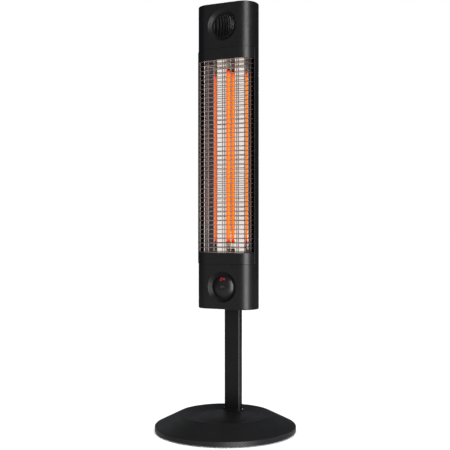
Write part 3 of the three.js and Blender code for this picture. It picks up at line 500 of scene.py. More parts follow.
def glow_finish():
    """Glowing filament that cools to a deep red near each end, with a painted highlight in a yellower colour
    along its right side.
    """
    finish = Finish("glowing_filament", (0.02, 0.006, 0.003), 0.8, 0.0, 0.0)
    ripple = finish.product(
        finish.between(GLOW_LOW, GLOW_HIGH, 14), finish.remap(finish.noise(35, detail=2), 0.86, 1.0))
    deep_red = (0.75, 0.006, 0.0)
    orange = finish.ramp(ripple, deep_red, (1.0, 0.135, 0.0))
    # Painted highlight: the right side of the filament is blended to a yellower colour.
    painted_highlight = finish.ramp(ripple, deep_red, (1.0, 0.34, 0.03))
    across = finish.remap(finish.axis("X"), 0.0, 1.0, -0.0012, 0.0018)
    finish.drive("Emission Color", finish.blend(across, orange, painted_highlight))
    finish.set("Emission Strength", 1.15)
    return finish.material


def figure_finish():
    """Lit red figures behind dark plastic."""
    finish = Finish("display_red", (0.25, 0.01, 0.01), 0.3)
    lit = (1.0, 0.03, 0.026)
    dimmer = [channel * 0.8 for channel in lit]
    finish.drive("Emission Color", finish.ramp(finish.noise(300, detail=1), dimmer, lit, 0.3, 0.7))
    finish.set("Emission Strength", 0.45)
    return finish.material


GLOW_LOW = HEAD_BOTTOM + 151
GLOW_HIGH = HEAD_BOTTOM + 545
quartz = quartz_finish()
filament = glow_finish()
display_red = figure_finish()
symbol_grey = moulded("symbol_grey", (0.05, 0.05, 0.052), (0.07, 0.07, 0.072), 0.4)


# ---- base

CREST_RADIUS = 104.0
CREST_TOP = 40.0
CREST_ROUND = 8.0
RIM_TOP = 13.1
VALLEY_FLOOR = 32.0
VALLEY_ROUND = 10.0
INNER_SLOPE = math.radians(16)
DOME_SLOPE = math.radians(18)
COVER_WALL = 2.8
LINING = [(0, 36), (60, 30), (CREST_RADIUS, 35), (BASE_RADIUS - 6, 12)]
PAD_WIDTH = 54
PAD_DEPTH = 24
PAD_CORNER = 5
FOOT_CIRCLE = 132


def base_profile():
    """From the rim's lower edge up, over the crest and in to the axis."""
    upright = math.pi / 2
    crest_centre = CREST_TOP - CREST_ROUND
    run = BASE_RADIUS - CREST_RADIUS
    rise = crest_centre - RIM_TOP
    outer_slope = math.atan2(rise, run) + math.asin(CREST_ROUND / math.hypot(run, rise))
    crest = arc(CREST_RADIUS, crest_centre, CREST_ROUND, upright - outer_slope, upright + INNER_SLOPE, 12)
    rim = filleted([
        (BASE_RADIUS - COVER_WALL, BASE_UNDERSIDE), (BASE_RADIUS, BASE_UNDERSIDE), (BASE_RADIUS, RIM_TOP),
        crest[0],
    ], [0, 0.5, 2.0, 0], 6)
    crest_r, crest_z = crest[-1]
    valley_z = VALLEY_FLOOR + VALLEY_ROUND * (1 - math.cos(INNER_SLOPE))
    valley_r = crest_r - (crest_z - valley_z) / math.tan(INNER_SLOPE) - VALLEY_ROUND * math.sin(INNER_SLOPE)
    valley = arc(valley_r, VALLEY_FLOOR + VALLEY_ROUND, VALLEY_ROUND,
                 INNER_SLOPE - upright, -DOME_SLOPE - upright, 8)
    dome_r, dome_z = valley[-1]
    dome_rise = dome_r * math.tan(DOME_SLOPE) / 3
    dome = [(dome_r * share, dome_z + dome_rise * (1 - share ** 3)) for share in sweep(1, 0, 14)[1:]]
    return rim + crest[1:] + valley + dome


pad_outline = rounded_rectangle(PAD_WIDTH, PAD_DEPTH, PAD_CORNER, 0, COLUMN_Y)
pad = slab(pad_outline, VALLEY_FLOOR + 1, PAD_TOP, 0.8, 4)
piece("base_shell", [turned(LINING + base_profile(), 192), pad], base_paint,
      replaces=["base_cover"])

foot_profile = filleted([
    (2.4, 2.4), (5, 2.4), (5, 0), (13, 0), (13, 4), (2.4, 4), (2.4, 2.4),
], [0, 0.2, 0.5, 1.4, 0.5, 0, 0], 4)
for i in range(4):
    place = Matrix.Translation((*polar(FOOT_CIRCLE, math.pi / 4 + i * math.pi / 2), 0))
    piece(f"foot_pad_{i + 1}", [turned(foot_profile, 48)], rubber,
          replaces=[f"rubber_foot_{i + 1}"], at=place)


# ---- column and its foot

COLUMN_WALL = 1.8
COLUMN_EDGE = 0.4
COLUMN_FIT = 0.35
BRACKET_RIM = 2.2
BRACKET_EDGE = 0.5
BRACKET_LOW = PAD_TOP + GAP
BRACKET_TOP = BRACKET_LOW + 1.8
UPSTAND_HEIGHT = 12.4
EAR_SCREW_X = 22.9
EAR_END = 25.8
EAR_WIDTH = 8
EAR_DEPTH = 9


def column_outline(growth, steps=10):
    """The column's outline, grown on every side."""
    return rounded_rectangle(
        COLUMN_WIDTH + 2 * growth, COLUMN_DEPTH + 2 * growth, COLUMN_CORNER + growth, 0, COLUMN_Y, steps)


tube = column_outline(0, 12)
bore = column_outline(-COLUMN_WALL, 12)
column_part = stacked((
    (bore, column_high.z), (bore, column_low.z), (grown(tube, -COLUMN_EDGE), column_low.z),
    (tube, column_low.z + COLUMN_EDGE), (tube, column_high.z - COLUMN_EDGE),
    (grown(tube, -COLUMN_EDGE), column_high.z), (bore, column_high.z),
))
piece("column", [column_part], column_paint, replaces=["column_tube"])


def foot_bracket():
    """A flange round the column, an ear at each side and a low upstand behind."""
    rim = column_outline(BRACKET_RIM)
    hole = column_outline(COLUMN_FIT)
    parts = [stacked((
        (hole, BRACKET_LOW), (rim, BRACKET_LOW), (rim, BRACKET_TOP - BRACKET_EDGE),
        (grown(rim, -BRACKET_EDGE * 0.3), BRACKET_TOP - BRACKET_EDGE * 0.3),
        (grown(rim, -BRACKET_EDGE), BRACKET_TOP), (hole, BRACKET_TOP), (hole, BRACKET_LOW),
    ))]
    for side in (-1, 1):
        ear = rounded_rectangle(EAR_WIDTH, EAR_DEPTH, 3.9, side * (EAR_END - EAR_WIDTH / 2), COLUMN_Y, 8)
        parts.append(slab(ear, BRACKET_LOW, BRACKET_TOP, 0.4, 3))
    thickness = BRACKET_RIM - COLUMN_FIT
    middle = COLUMN_Y + COLUMN_DEPTH / 2 + (COLUMN_FIT + BRACKET_RIM) / 2
    upstand = rounded_rectangle(COLUMN_WIDTH - 1, thickness, thickness / 4, 0, middle, 3)
    parts.append(slab(upstand, BRACKET_LOW, BRACKET_LOW + UPSTAND_HEIGHT, 0.5))
    return parts


piece("column_foot", foot_bracket(), bracket_black, replaces=["foot_bracket"])


def folded(angle, spokes):
    """An angle measured from the nearest of so many evenly spaced spokes."""
    half = math.pi / spokes
    return (angle + half) % (2 * half) - half


def hexagon(flat, corner, count):
    """Points round a hexagon, flat out to its sides and cut off at a corner radius."""
    return [polar(min(flat / math.cos(folded(angle, 6)), corner), angle)
            for angle in sweep(0, 2 * math.pi, count)[:-1]]


def cross(size, count):
    """Points round a cross whose arms are two fifths of its size wide."""
    half = size * 0.2
    points = []
    for angle in sweep(0, 2 * math.pi, count)[:-1]:
        turn = abs(folded(angle, 4))
        reach = min(size / math.cos(turn), half / max(math.sin(turn), 1e-6))
        points.append(polar(max(reach, half * 1.1), angle))
    return points


def screw_head(radius, height, kind, size, shank, length):
    """A pan head on local z = 0 with a drive recess in its top and a stub of its shank."""
    count = 48
    side = filleted([
        (shank, -length), (shank, 0), (radius, 0), (radius, height * 0.55), (radius * 0.72, height),
        (size * 1.1, height),
    ], [0, 0, 0.2, radius * 0.25, radius * 0.3, 0], 5)
    recess = hexagon(size * math.cos(math.pi / 6), size, count) if kind == "hex" else cross(size, count)
    rings = [at_height(circle(across, count), z) for across, z in side]
    rings.append(at_height(recess, height))
    rings.append(at_height([(x * 0.86, y * 0.86) for x, y in recess], height * 0.25))
    return loft(rings, last=True)


def screw_piece(name, node, place, shape):
    piece(name, [screw_head(*shape)], steel, replaces=[node], sharp=28, weighted=False,
          at=place)


# Head radius and height, recess and its size, shank radius and length.
EAR_SCREW = (2.5, 1.9, "cross", 1.5, 1.4, 6.5)
CAP_SCREW = (3.2, 1.9, "cross", 1.9, 1.6, 9)
SADDLE_BOLT = (4.6, 2.6, "hex", 2.2, 2.5, 31)
SIDES = (("left", -1), ("right", 1))
for label, side in SIDES:
    place = Matrix.Translation((side * EAR_SCREW_X, COLUMN_Y, BRACKET_TOP + GAP))
    screw_piece(f"ear_screw_{label}", f"bracket_screw_{label}", place, EAR_SCREW)


# ---- head outline

def rear_arc(inset, steps):
    """From the right side round the back to the left side, without the front corners."""
    x = HALF_WIDTH - REAR_CORNER
    y = HEAD_REAR - REAR_CORNER
    radius = REAR_CORNER - inset
    return arc(x, y, radius, 0, math.pi / 2, steps) + arc(-x, y, radius, math.pi / 2, math.pi, steps)


def front_corner(inset, steps, turn=math.pi / 2):
    """The right corner, from the flat front toward the side."""
    return arc(FRONT_CENTRE_X, FRONT_CENTRE_Y, FRONT_CORNER - inset, -math.pi / 2, turn - math.pi / 2, steps)


def head_outline(inset=0.0):
    """Counter-clockwise from the right end of the flat front; it closes along that front."""
    corner = front_corner(inset, 16)
    return corner + rear_arc(inset, 16) + mirrored(corner)


# ---- end caps

CAP_HEIGHT = SEAM_LOW - HEAD_BOTTOM
CAP_EDGE = 2.0
SEAM_EDGE = 0.35
LIP_ROUND = 1.6
CIRCLE = 144


def recess_surface():
    """The recess's rounded lip, its conical bevel and the bore behind it, in a front-facing frame."""
    lip = filleted([
        (RECESS_OUTER + LIP_ROUND, 0), (RECESS_OUTER, 0), (RECESS_BORE, -RECESS_DEPTH),
        (RECESS_BORE, -RECESS_DEPTH - 6),
    ], [0, LIP_ROUND, 0.5, 0], 6)
    return turned(lip, CIRCLE)


def cap_parts(column_hole):
    """A cap with its closed end at z = 0 and its seam at z = CAP_HEIGHT."""
    rounded = [at_height(head_outline(inset), lift) for inset, lift in rounding(CAP_EDGE, 6)]
    parts = [loft(rounded)]
    end = rounded[0]
    if column_hole:
        hole = column_outline(COLUMN_FIT)
        parts.append(fill_with_hole(end, at_height(hole, 0)))
        parts.append(loft([at_height(hole, 0), at_height(hole, HEAD_WALL)]))
    else:
        parts.append((end, [tuple(reversed(range(len(end))))]))
    top = CAP_HEIGHT - SEAM_EDGE
    wall = head_outline()
    parts.append(loft([at_height(wall, CAP_EDGE), at_height(wall, top)], closed=False))
    right = wall[0][0]
    panel = [(-right, HEAD_FRONT, CAP_EDGE), (right, HEAD_FRONT, CAP_EDGE), (right, HEAD_FRONT, top),
             (-right, HEAD_FRONT, top)]
    facing = frame_front(0, RECESS_FROM_END)
    opening = [facing @ Vector((x, y, 0)) for x, y in circle(RECESS_OUTER + LIP_ROUND, CIRCLE)]
    parts.append(fill_with_hole(panel, opening))
    parts.append(moved(recess_surface(), facing))
    seam = ((0, top), (SEAM_EDGE * 0.3, CAP_HEIGHT - SEAM_EDGE * 0.3), (SEAM_EDGE, CAP_HEIGHT),
            (HEAD_WALL, CAP_HEIGHT), (HEAD_WALL, CAP_HEIGHT - 6))
    parts.append(loft([at_height(head_outline(inset), z) for inset, z in seam]))
    return parts


piece("lower_cap", cap_parts(True), cap_paint, replaces=["bottom_cap"],
      at=Matrix.Translation((0, 0, HEAD_BOTTOM)))
piece("upper_cap", cap_parts(False), cap_paint, replaces=["top_cap"],
      at=Matrix.Translation((0, 0, HEAD_TOP)) @ Matrix.Diagonal((1, 1, -1, 1)))
panel_frame = frame_front(0, HEAD_BOTTOM + RECESS_FROM_END)
vent_frame = frame_front(0, HEAD_TOP - RECESS_FROM_END)


# ---- bands and rear housing

def strip(outer, inner, levels):
    """A wall between two open paths, through (height, inset at the outer path) levels."""
    middle = [((ox + ix) / 2, (oy + iy) / 2) for (ox, oy), (ix, iy) in zip(outer, inner)]
    rings = []
    for height, inset in levels:
        drawn = [(ox + (mx - ox) * inset, oy + (my - oy) * inset)
                 for (ox, oy), (mx, my) in zip(outer, middle)]
        rings.append(at_height(drawn + list(reversed(inner)), height))
    points, faces = loft(rings)
    count = len(outer)
    whole = 2 * count
    for level in (0, len(rings) - 1):
        start = level * whole
        for i in range(count - 1):
            faces.append((start + i, start + i + 1, start + whole - 2 - i, start + whole - 1 - i))
    return points, faces


def front_path(inset):
    """From the left side edge round the front to the right side edge."""
    stop = math.acos((FRONT_CENTRE_Y - (SIDE_EDGE_Y - GAP)) / FRONT_CORNER)
    right = front_corner(inset, 20, stop)
    return mirrored(right) + right


def edge_levels(z0, z1):
    """Levels of a wall whose upper and lower edges are slightly broken."""
    broken = [(0, 0.18), (0.06, 0.072), (0.2, 0)]
    levels = [(z0 + rise, inset) for rise, inset in broken]
    return levels + [(z1 - rise, inset) for rise, inset in reversed(broken)]


for name, node, low, high in (
    ("lower_band", "bottom_band", bottom_band_low.z, bottom_band_high.z),
    ("upper_band", "top_band", top_band_low.z, top_band_high.z),
):
    part = strip(front_path(0), front_path(HEAD_WALL), edge_levels(low, high))
    piece(name, [part], band_paint, replaces=[node])

GROOVE_PITCH = 9.0
GROOVES = 7
GROOVE_SIDE = [(1.45, 0), (1.25, 0.1), (1.05, 0.8), (0.9, 0.9)]
SIDE_BEVEL = 0.5


def housing_path(inside):
    """From the right side edge round the back to the left one; only the outer face is grooved."""
    inset = HEAD_WALL if inside else 0
    x = HALF_WIDTH - inset
    start = [(x if inside else x - SIDE_BEVEL, SIDE_EDGE_Y), (x, SIDE_EDGE_Y + SIDE_BEVEL)]
    corners = rear_arc(inset, 18)
    half = len(corners) // 2
    back = []
    for i in reversed(range(GROOVES)):
        centre = (i - (GROOVES - 1) / 2) * GROOVE_PITCH
        for offset, depth in GROOVE_SIDE + mirrored(GROOVE_SIDE):
            back.append((centre + offset, HEAD_REAR - (HEAD_WALL if inside else depth)))
    return start + corners[:half] + back + corners[half:] + mirrored(start)


housing_part = strip(housing_path(False), housing_path(True), edge_levels(housing_low.z, housing_high.z))
piece("back_shell", [housing_part], housing_paint, replaces=["rear_housing"])


# ---- vent

INSERT_RADIUS = 27.8
FLANGE_RADIUS = 31
DISH_RADIUS = 24.9
DISH_DEPTH = 7.2
SLOTS = 7
SLOT_PITCH = 6.9
SLOT_HALF = 1.35
RIB_SECTION = ((0, 3.2), (0, 0.5), (0.08, 0.15), (0.25, 0), (0.75, 0), (0.92, 0.15), (1, 0.5), (1, 3.2))
RIB_BOW = 0.16
SHADE_DISC = ((0, -20.5), (24, -20.5), (24.4, -21), (24.4, -22), (0, -22))


def vent_parts():
    """The insert's ring and the ribs between its slots."""
    ring = filleted([(radius, z - RECESS_DEPTH) for radius, z in (
        (DISH_RADIUS - 1.2, -8), (DISH_RADIUS, -2.2), (DISH_RADIUS + 0.5, -0.2), (INSERT_RADIUS - 0.3, -0.2),
        (INSERT_RADIUS, -1.2), (INSERT_RADIUS, -2.3), (FLANGE_RADIUS, -2.3), (FLANGE_RADIUS, -4.3),
    )], [0, 0.6, 0.5, 0.3, 0.2, 0, 0.2, 0], 4)
    edges = [-DISH_RADIUS * 1.02]
    for i in range(SLOTS):
        x = (i - (SLOTS - 1) / 2) * SLOT_PITCH
        edges += [x - SLOT_HALF, x + SLOT_HALF]
    edges.append(DISH_RADIUS * 1.02)
    return [turned(ring, 96)] + [vent_rib(left, right) for left, right in zip(edges[::2], edges[1::2])]


def vent_rib(left, right):
    """An upright rib that follows the dish and bows outward like a meridian."""
    rings = []
    middle = (left + right) / 2
    reach = math.sqrt(max((DISH_RADIUS - 0.2) ** 2 - (middle * 0.9) ** 2, 9))
    for v in sweep(-reach, reach, 28):
        bow = 1 - RIB_BOW * (v / DISH_RADIUS) ** 2
        ring = []
        for share, back in RIB_SECTION:
            u = (left + (right - left) * share) * bow
            away = min((u * u + v * v) / DISH_RADIUS ** 2, 1.0)
            depth = -RECESS_DEPTH - 0.4 - DISH_DEPTH * (1 - away)
            ring.append((u, v, depth - back))
        rings.append(ring)
    return loft(rings, first=True, last=True)


piece("vent_grating", vent_parts(), vent_black, replaces=["vent_insert"], at=vent_frame)
# A near-black disc behind the vent's slots: painted shade for the dark inside of the head.
piece("vent_shade_disc", [turned(SHADE_DISC, 64)], painted_shade_black, at=vent_frame)


# ---- display lens and power button

def lens_face(radius):
    """Height of the lens's domed face, from the head's front."""
    return (RECESS_DEPTH - 0.6) * (1 - (radius / LENS_RADIUS) ** 3) - RECESS_DEPTH


def lens_profile():
    hole = BUTTON_RADIUS + GAP + 0.1
    lip = lens_face(hole)
    inner = LENS_RADIUS - 2.2
    flange = [(LENS_RADIUS, -20), (LENS_RADIUS, -12.3), (FLANGE_RADIUS, -12.3), (FLANGE_RADIUS, -10.3),
              (LENS_RADIUS, -10.3), (LENS_RADIUS, -RECESS_DEPTH - 0.6),
              (LENS_RADIUS - 0.12, -RECESS_DEPTH - 0.15)]
    face = [(radius, lens_face(radius)) for radius in sweep(LENS_RADIUS - 0.3, hole + 0.35, 24)[1:]]
    back = [(hole + 0.1, lip - 0.1), (hole, lip - 0.35), (hole, lip - 2.2), (inner, -11), (inner, -20),
            (LENS_RADIUS, -20)]
    return flange + face + back


piece("lens", [turned(lens_profile(), 128)], gloss_black, replaces=["display_lens"],
      at=panel_frame)


def arc_bar(radius, half_width, start, end, z0, z1, steps=28):
    """A flat bar bent round an arc, angles in degrees."""
    rings = []
    for angle in sweep(math.radians(start), math.radians(end), steps):
        inner, outer = polar(radius - half_width, angle), polar(radius + half_width, angle)
        rings.append([(*inner, z0), (*outer, z0), (*outer, z1), (*inner, z1)])
    return loft(rings, first=True, last=True)


button_face = lens_face(BUTTON_RADIUS)
button_profile = filleted([
    (0, -13.9), (2.2, -13.9), (2.2, button_face - 4), (BUTTON_RADIUS, button_face - 4),
    (BUTTON_RADIUS, button_face + 0.45), (BUTTON_RADIUS - 1.4, button_face + 0.5),
    (BUTTON_RADIUS - 2.4, button_face + 0.12), (0, button_face + 0.02),
], [0, 0.2, 0, 0.3, 0.5, 0.8, 1.2, 0], 6)
piece("button_cap", [turned(button_profile, 64)], matte_black, body="button",
      replaces=["power_button"], at=panel_frame)
SYMBOL_HALF = 0.27
symbol_low, symbol_high = button_face - 0.1, button_face + 0.16
symbol_bar = [(-SYMBOL_HALF, 0.7), (SYMBOL_HALF, 0.7), (SYMBOL_HALF, 3.0), (-SYMBOL_HALF, 3.0)]
symbol = [
    arc_bar(2.3, SYMBOL_HALF, 125, 415, symbol_low, symbol_high),
    slab(symbol_bar, symbol_low, symbol_high, 0.04, 1),
]
piece("button_symbol", symbol, symbol_grey, body="button", at=panel_frame)

# A figure's bars: top, upper left, upper right, middle, lower left, lower right, bottom.
FIGURES = {"2": (0, 2, 3, 4, 6), "4": (1, 2, 3, 5)}
FIGURE_WIDTH = 4.9
FIGURE_HEIGHT = 6.8
FIGURE_LEAN = 0.1
FIGURE_X = 3.1
FIGURE_Y = 17.6
BAR_HALF = 0.55
BAR_GAP = 0.12


def segment_bar(index):
    """One of a figure's seven bars as a six-sided outline centred on the figure."""
    w, h = FIGURE_WIDTH / 2 - BAR_HALF, FIGURE_HEIGHT / 2 - BAR_HALF
    ends = (((-w, h), (w, h)), ((-w, 0), (-w, h)), ((w, 0), (w, h)), ((-w, 0), (w, 0)),
            ((-w, -h), (-w, 0)), ((w, -h), (w, 0)), ((-w, -h), (w, -h)))
    a, b = (Vector(end) for end in ends[index])
    along = (b - a).normalized()
    across = Vector((-along.y, along.x)) * BAR_HALF
    a, b = a + along * BAR_GAP, b - along * BAR_GAP
    return [a, a + along * BAR_HALF + across, b - along * BAR_HALF + across, b, b - along * BAR_HALF - across,
            a + along * BAR_HALF - across]


def figure(character, x, y):
    """Bars that lean a little and follow the lens's dome."""
    parts = []
    for index in FIGURES[character]:
        flat = [(x + p.x + FIGURE_LEAN * p.y, y + p.y) for p in segment_bar(index)]
        rings = [[(u, v, lens_face(math.hypot(u, v)) + rise) for u, v in flat] for rise in (-0.05, 0.06)]
        parts.append(loft(rings, first=True, last=True))
    return parts


digits = figure("2", -FIGURE_X, FIGURE_Y) + figure("4", FIGURE_X, FIGURE_Y)
piece("display_figures", digits, display_red, weighted=False, at=panel_frame)


# ---- grille

WIRE_RADIUS = 0.85
UPRIGHT_RADIUS = 1.05
WIRE_ROWS = 43
GRILLE_INSET = 2.0
UPRIGHT_SPACING = 35.4


def grille_point(distance, inset):
    reach = max(abs(distance) - FRONT_CENTRE_X, 0)
    angle = reach / (FRONT_CORNER - GRILLE_INSET)
    radius = FRONT_CORNER - inset
    x = min(abs(distance), FRONT_CENTRE_X) + radius * math.sin(angle)
    return math.copysign(x, distance), FRONT_CENTRE_Y - radius * math.cos(angle)


def grille_parts():
    radius = FRONT_CORNER - GRILLE_INSET
    end = FRONT_CENTRE_X + radius * math.acos((FRONT_CENTRE_Y - SIDE_EDGE_Y + GAP + WIRE_RADIUS) / radius)
    corner = sweep(FRONT_CENTRE_X, end, 10)
    stations = [-d for d in reversed(corner)] + corner
    low = OPENING_LOW + 2 * GAP + WIRE_RADIUS
    high = OPENING_HIGH - 2 * GAP - WIRE_RADIUS
    return [wire([(*grille_point(d, GRILLE_INSET), z) for d in stations], WIRE_RADIUS, 10)
            for z in sweep(low, high, WIRE_ROWS - 1)]


def upright_parts():
    low = OPENING_LOW + 2 * GAP
    high = OPENING_HIGH - 2 * GAP
    parts = []
    for column in range(-2, 3):
        x, y = grille_point(column * UPRIGHT_SPACING, GRILLE_INSET + 1.6)
        path = [(x, y, z) for z in sweep(low, high, 2)]
        parts.append(wire(path, UPRIGHT_RADIUS, 12, up=Vector((0, 1, 0))))
    return parts


piece("wire_grille", grille_parts(), grille_wire, replaces=["grille"], sharp=50,
      weighted=False)
piece("wire_uprights", upright_parts(), lit_upright_wire, sharp=50, weighted=False)


# ---- reflector

REFLECTOR_FLAT = 34.4
REFLECTOR_BEND = (39.5, 21.5)
REFLECTOR_MOUTH = (58.4, 10.8)
REFLECTOR_Y = 27.5
FOLD_RADIUS = 0.8
SHEET = 1.2
BEAD = ((-1, 0), (-0.75, 0.2), (-0.4, 0.62), (0, 0.8), (0.4, 0.62), (0.75, 0.2), (1, 0))
HEM = ((-1.6, 0), (-0.9, 0.25), (-0.2, 0.2), (0, 0))
HEM_FLANGE = 1.4


def reflector_part():
    """Flat back, a soft fold, a rolled bead at each wing's bend and a hemmed front edge."""
    bend = Vector(REFLECTOR_BEND)
    lip = Vector(REFLECTOR_MOUTH)
    along = (lip - bend).normalized()
    toward_lamp = Vector((along.y, -along.x))
    right = filleted([(0, REFLECTOR_Y), (REFLECTOR_FLAT, REFLECTOR_Y), bend], [0, FOLD_RADIUS, 0], 5)[:-1]
    for origin, shape in ((bend, BEAD), (lip, HEM)):
        right += [origin + along * offset + toward_lamp * proud for offset, proud in shape]
    right.append(lip + Vector((HEM_FLANGE, 0)))
    inner = mirrored(right) + [(x, y) for x, y in right[1:]]
    last = len(inner) - 1
    outer = []
    for i, (x, y) in enumerate(inner):
        direction = (Vector(inner[min(i + 1, last)]) - Vector(inner[max(i - 1, 0)])).normalized()
        outer.append((x - direction.y * SHEET, y + direction.x * SHEET))
    return strip(inner, outer, [(reflector_low.z, 0), (reflector_high.z, 0)])


piece("reflector_sheet", [reflector_part()], polished, replaces=["reflector"],
      sharp=40)


# ---- lamp

LAMP_PLACE = Matrix.Translation((0, LAMP_Y, 0))
LAMP_BORE = LAMP_RADIUS - 1.3
LEG_PITCH = 13.0
COLLAR = ((0, -1), (2.4, -1), (3.1, -0.4), (3.1, 0.4), (2.4, 1), (0, 1))

tube_profile = filleted([
    (LAMP_BORE, tube_low.z), (LAMP_RADIUS, tube_low.z), (LAMP_RADIUS, tube_high.z), (LAMP_BORE, tube_high.z),
    (LAMP_BORE, tube_low.z),
], [0, 0.6, 0.6, 0.3, 0], 4)
piece("quartz_tube", [turned(tube_profile, 64)], quartz, replaces=["lamp_tube"], at=LAMP_PLACE)


def helix(radius, z0, z1, pitch, thickness, phase=0.0, steps_per_turn=16, sides=6):
    total = int((z1 - z0) / pitch * steps_per_turn)
    path = []
    for step in range(total + 1):
        angle = phase + 2 * math.pi * step / steps_per_turn
        path.append((*polar(radius, angle), z0 + (z1 - z0) * step / total))
    return wire(path, thickness, sides)


def leg_parts():
    """Two twisted leads to each end of the coil, and a collar where they meet it."""
    parts = []
    for phase in (0, math.pi):
        for z0, z1 in ((tube_low.z + 3.4, GLOW_LOW + 0.5), (GLOW_HIGH - 0.5, tube_high.z - 3.4)):
            parts.append(helix(1.7, z0, z1, LEG_PITCH, 0.45, phase, 20, 8))
    for z in (GLOW_LOW - 1.0, GLOW_HIGH + 1.0):
        parts.append(turned([(radius, z + rise) for radius, rise in COLLAR], 32))
    return parts


piece("filament_coil", [helix(3.2, GLOW_LOW, GLOW_HIGH, 1.7, 0.82)], filament,
      replaces=["lamp_element"], sharp=60, weighted=False, at=LAMP_PLACE)
piece("filament_legs", leg_parts(), lead_wire, sharp=60, weighted=False, at=LAMP_PLACE)

# Ceramic end: a plug inside the tube, a ribbed round body and the stub of its lead.
end_profile = filleted([
    (0, -3), (3.6, -3), (3.6, 0), (5, 0), (5, 5.4), (4.5, 5.8), (4.5, 6.6), (5, 7), (5, 17),
    (1.4, 17), (1.4, 20), (0, 20),
], [0, 0.3, 0, 0.5, 0.2, 0.2, 0.2, 0.2, 0.8, 0.2, 0.3, 0], 4)
for name, node, direction, z in (
    ("lamp_end_low", "lamp_cap_bottom", -1, tube_low.z - GAP),
    ("lamp_end_high", "lamp_cap_top", 1, tube_high.z + GAP),
):
    place = Matrix.Translation((0, LAMP_Y, z)) @ Matrix.Diagonal((1, 1, direction, 1))
    piece(name, [turned(end_profile, 48)], ceramic, replaces=[node], at=place)


# ---- back of the head

CAP_SCREW_X = 24.0
CAP_SCREW_FROM_SEAM = 9
SADDLE_BOLT_HEIGHTS = (15, 31)
for end, height in (("bottom", SEAM_LOW - CAP_SCREW_FROM_SEAM), ("top", SEAM_HIGH + CAP_SCREW_FROM_SEAM)):
    for label, side in SIDES:
        place = frame_rear(side * CAP_SCREW_X, height, HEAD_REAR + GAP)
        screw_piece(f"cap_screw_{end}_{label}", f"{end}_cap_screw_{label}", place, CAP_SCREW)
for index, height in enumerate(SADDLE_BOLT_HEIGHTS):
    place = frame_rear(0, HEAD_BOTTOM + height, HEAD_REAR + GAP)
    screw_piece(f"saddle_screw_{index + 1}", f"saddle_bolt_{index + 1}", place, SADDLE_BOLT)


def gland_parts():
    """A nut against the cap and a ribbed, tapered relief."""
    nut = slab(hexagon(7.75, 8.5, 96), GAP, 4.6, 0.5, 3)
    sleeve = [(2.8, -9), (6, -9), (6, 4.8), (6.9, 4.8), (6.9, 5.4)]
    for rib in range(5):
        z = 5.8 + rib * 2.2
        radius = 6.6 - rib * 0.62
        sleeve += [(radius, z), (radius, z + 1.1), (radius - 0.9, z + 1.4), (radius - 0.9, z + 2.0)]
    sleeve += [(3.6, 17), (2.9, 17), (2.8, 16.6), (2.8, -9)]
    return [nut, turned(sleeve, 64)]


def middle_mm(node):
    """The x and z of a node's middle."""
    low, high = box_mm(node)
    return (low.x + high.x) / 2, (low.z + high.z) / 2


piece("gland", gland_parts(), rear_black, replaces=["cable_gland"], sharp=30,
      at=frame_rear(*middle_mm("cable_gland")))

ROCKER_X, ROCKER_Z = middle_mm("rocker_frame")
ROCKER_REST = math.radians(10)


def bezel_parts():
    """A rounded frame round the rocker, and its body inside the cap."""
    outer = rounded_rectangle(17, 22.4, 2.2, steps=8)
    inner = rounded_rectangle(10.6, 16.8, 0.9, steps=8)
    waist = grown(outer, -2.0)
    bezel = stacked((
        (inner, -9), (waist, -9), (waist, GAP), (outer, GAP), (outer, GAP + 1.1),
        (grown(outer, -0.25), GAP + 1.6), (grown(outer, -0.7), GAP + 1.8), (grown(inner, 0.4), GAP + 1.8),
        (inner, GAP + 1.4), (inner, -9),
    ))
    body = slab(rounded_rectangle(12.8, 18.8, 1, steps=4), -17, -9, 0.4, 2)
    return [bezel, body]


piece("rocker_bezel", bezel_parts(), rear_black, replaces=["rocker_frame"], sharp=30,
      at=frame_rear(ROCKER_X, ROCKER_Z))


def paddle():
    """A shallow V-shaped paddle about its pivot."""
    side = filleted([
        (-7.2, -2.5), (7.2, -2.5), (7.2, 4.2), (0, 3.1), (-7.2, 4.2), (-7.2, -2.5),
    ], [0, 0, 0.7, 9.0, 0.7, 0], 6)[:-1]
    rings = []
    for x, inset in ((-5, 0.35), (-4.85, 0.1), (-4.6, 0), (4.6, 0), (4.85, 0.1), (5, 0.35)):
        rings.append([(x, p.x * (1 - inset / 8), p.y - (inset if p.y > 0 else -inset)) for p in side])
    return loft(rings, first=True, last=True)


def rocker_marks():
    """A dash and a ring, moulded on the paddle's two halves."""
    dash = slab([(-1.6, 4.2), (1.6, 4.2), (1.6, 4.9), (-1.6, 4.9)], 3.6, 3.92, 0.05, 1)
    ring = arc_bar(1.3, 0.25, 0, 360, 3.5, 3.86, 32)
    return [dash, moved(ring, Matrix.Translation((0, -4.4, 0)))]


tilt = Matrix.Translation((ROCKER_X, HEAD_REAR + 0.4, ROCKER_Z)) @ Matrix.Rotation(ROCKER_REST, 4, "X")
rocker_place = tilt @ Matrix.Rotation(-math.pi / 2, 4, "X")
piece("rocker_paddle", [paddle()], gloss_black, body="rocker",
      replaces=["mains_rocker"], sharp=30, at=rocker_place)
piece("rocker_marks", rocker_marks(), ceramic, body="rocker", weighted=False, at=rocker_place)


# ---- nodes shown as they are

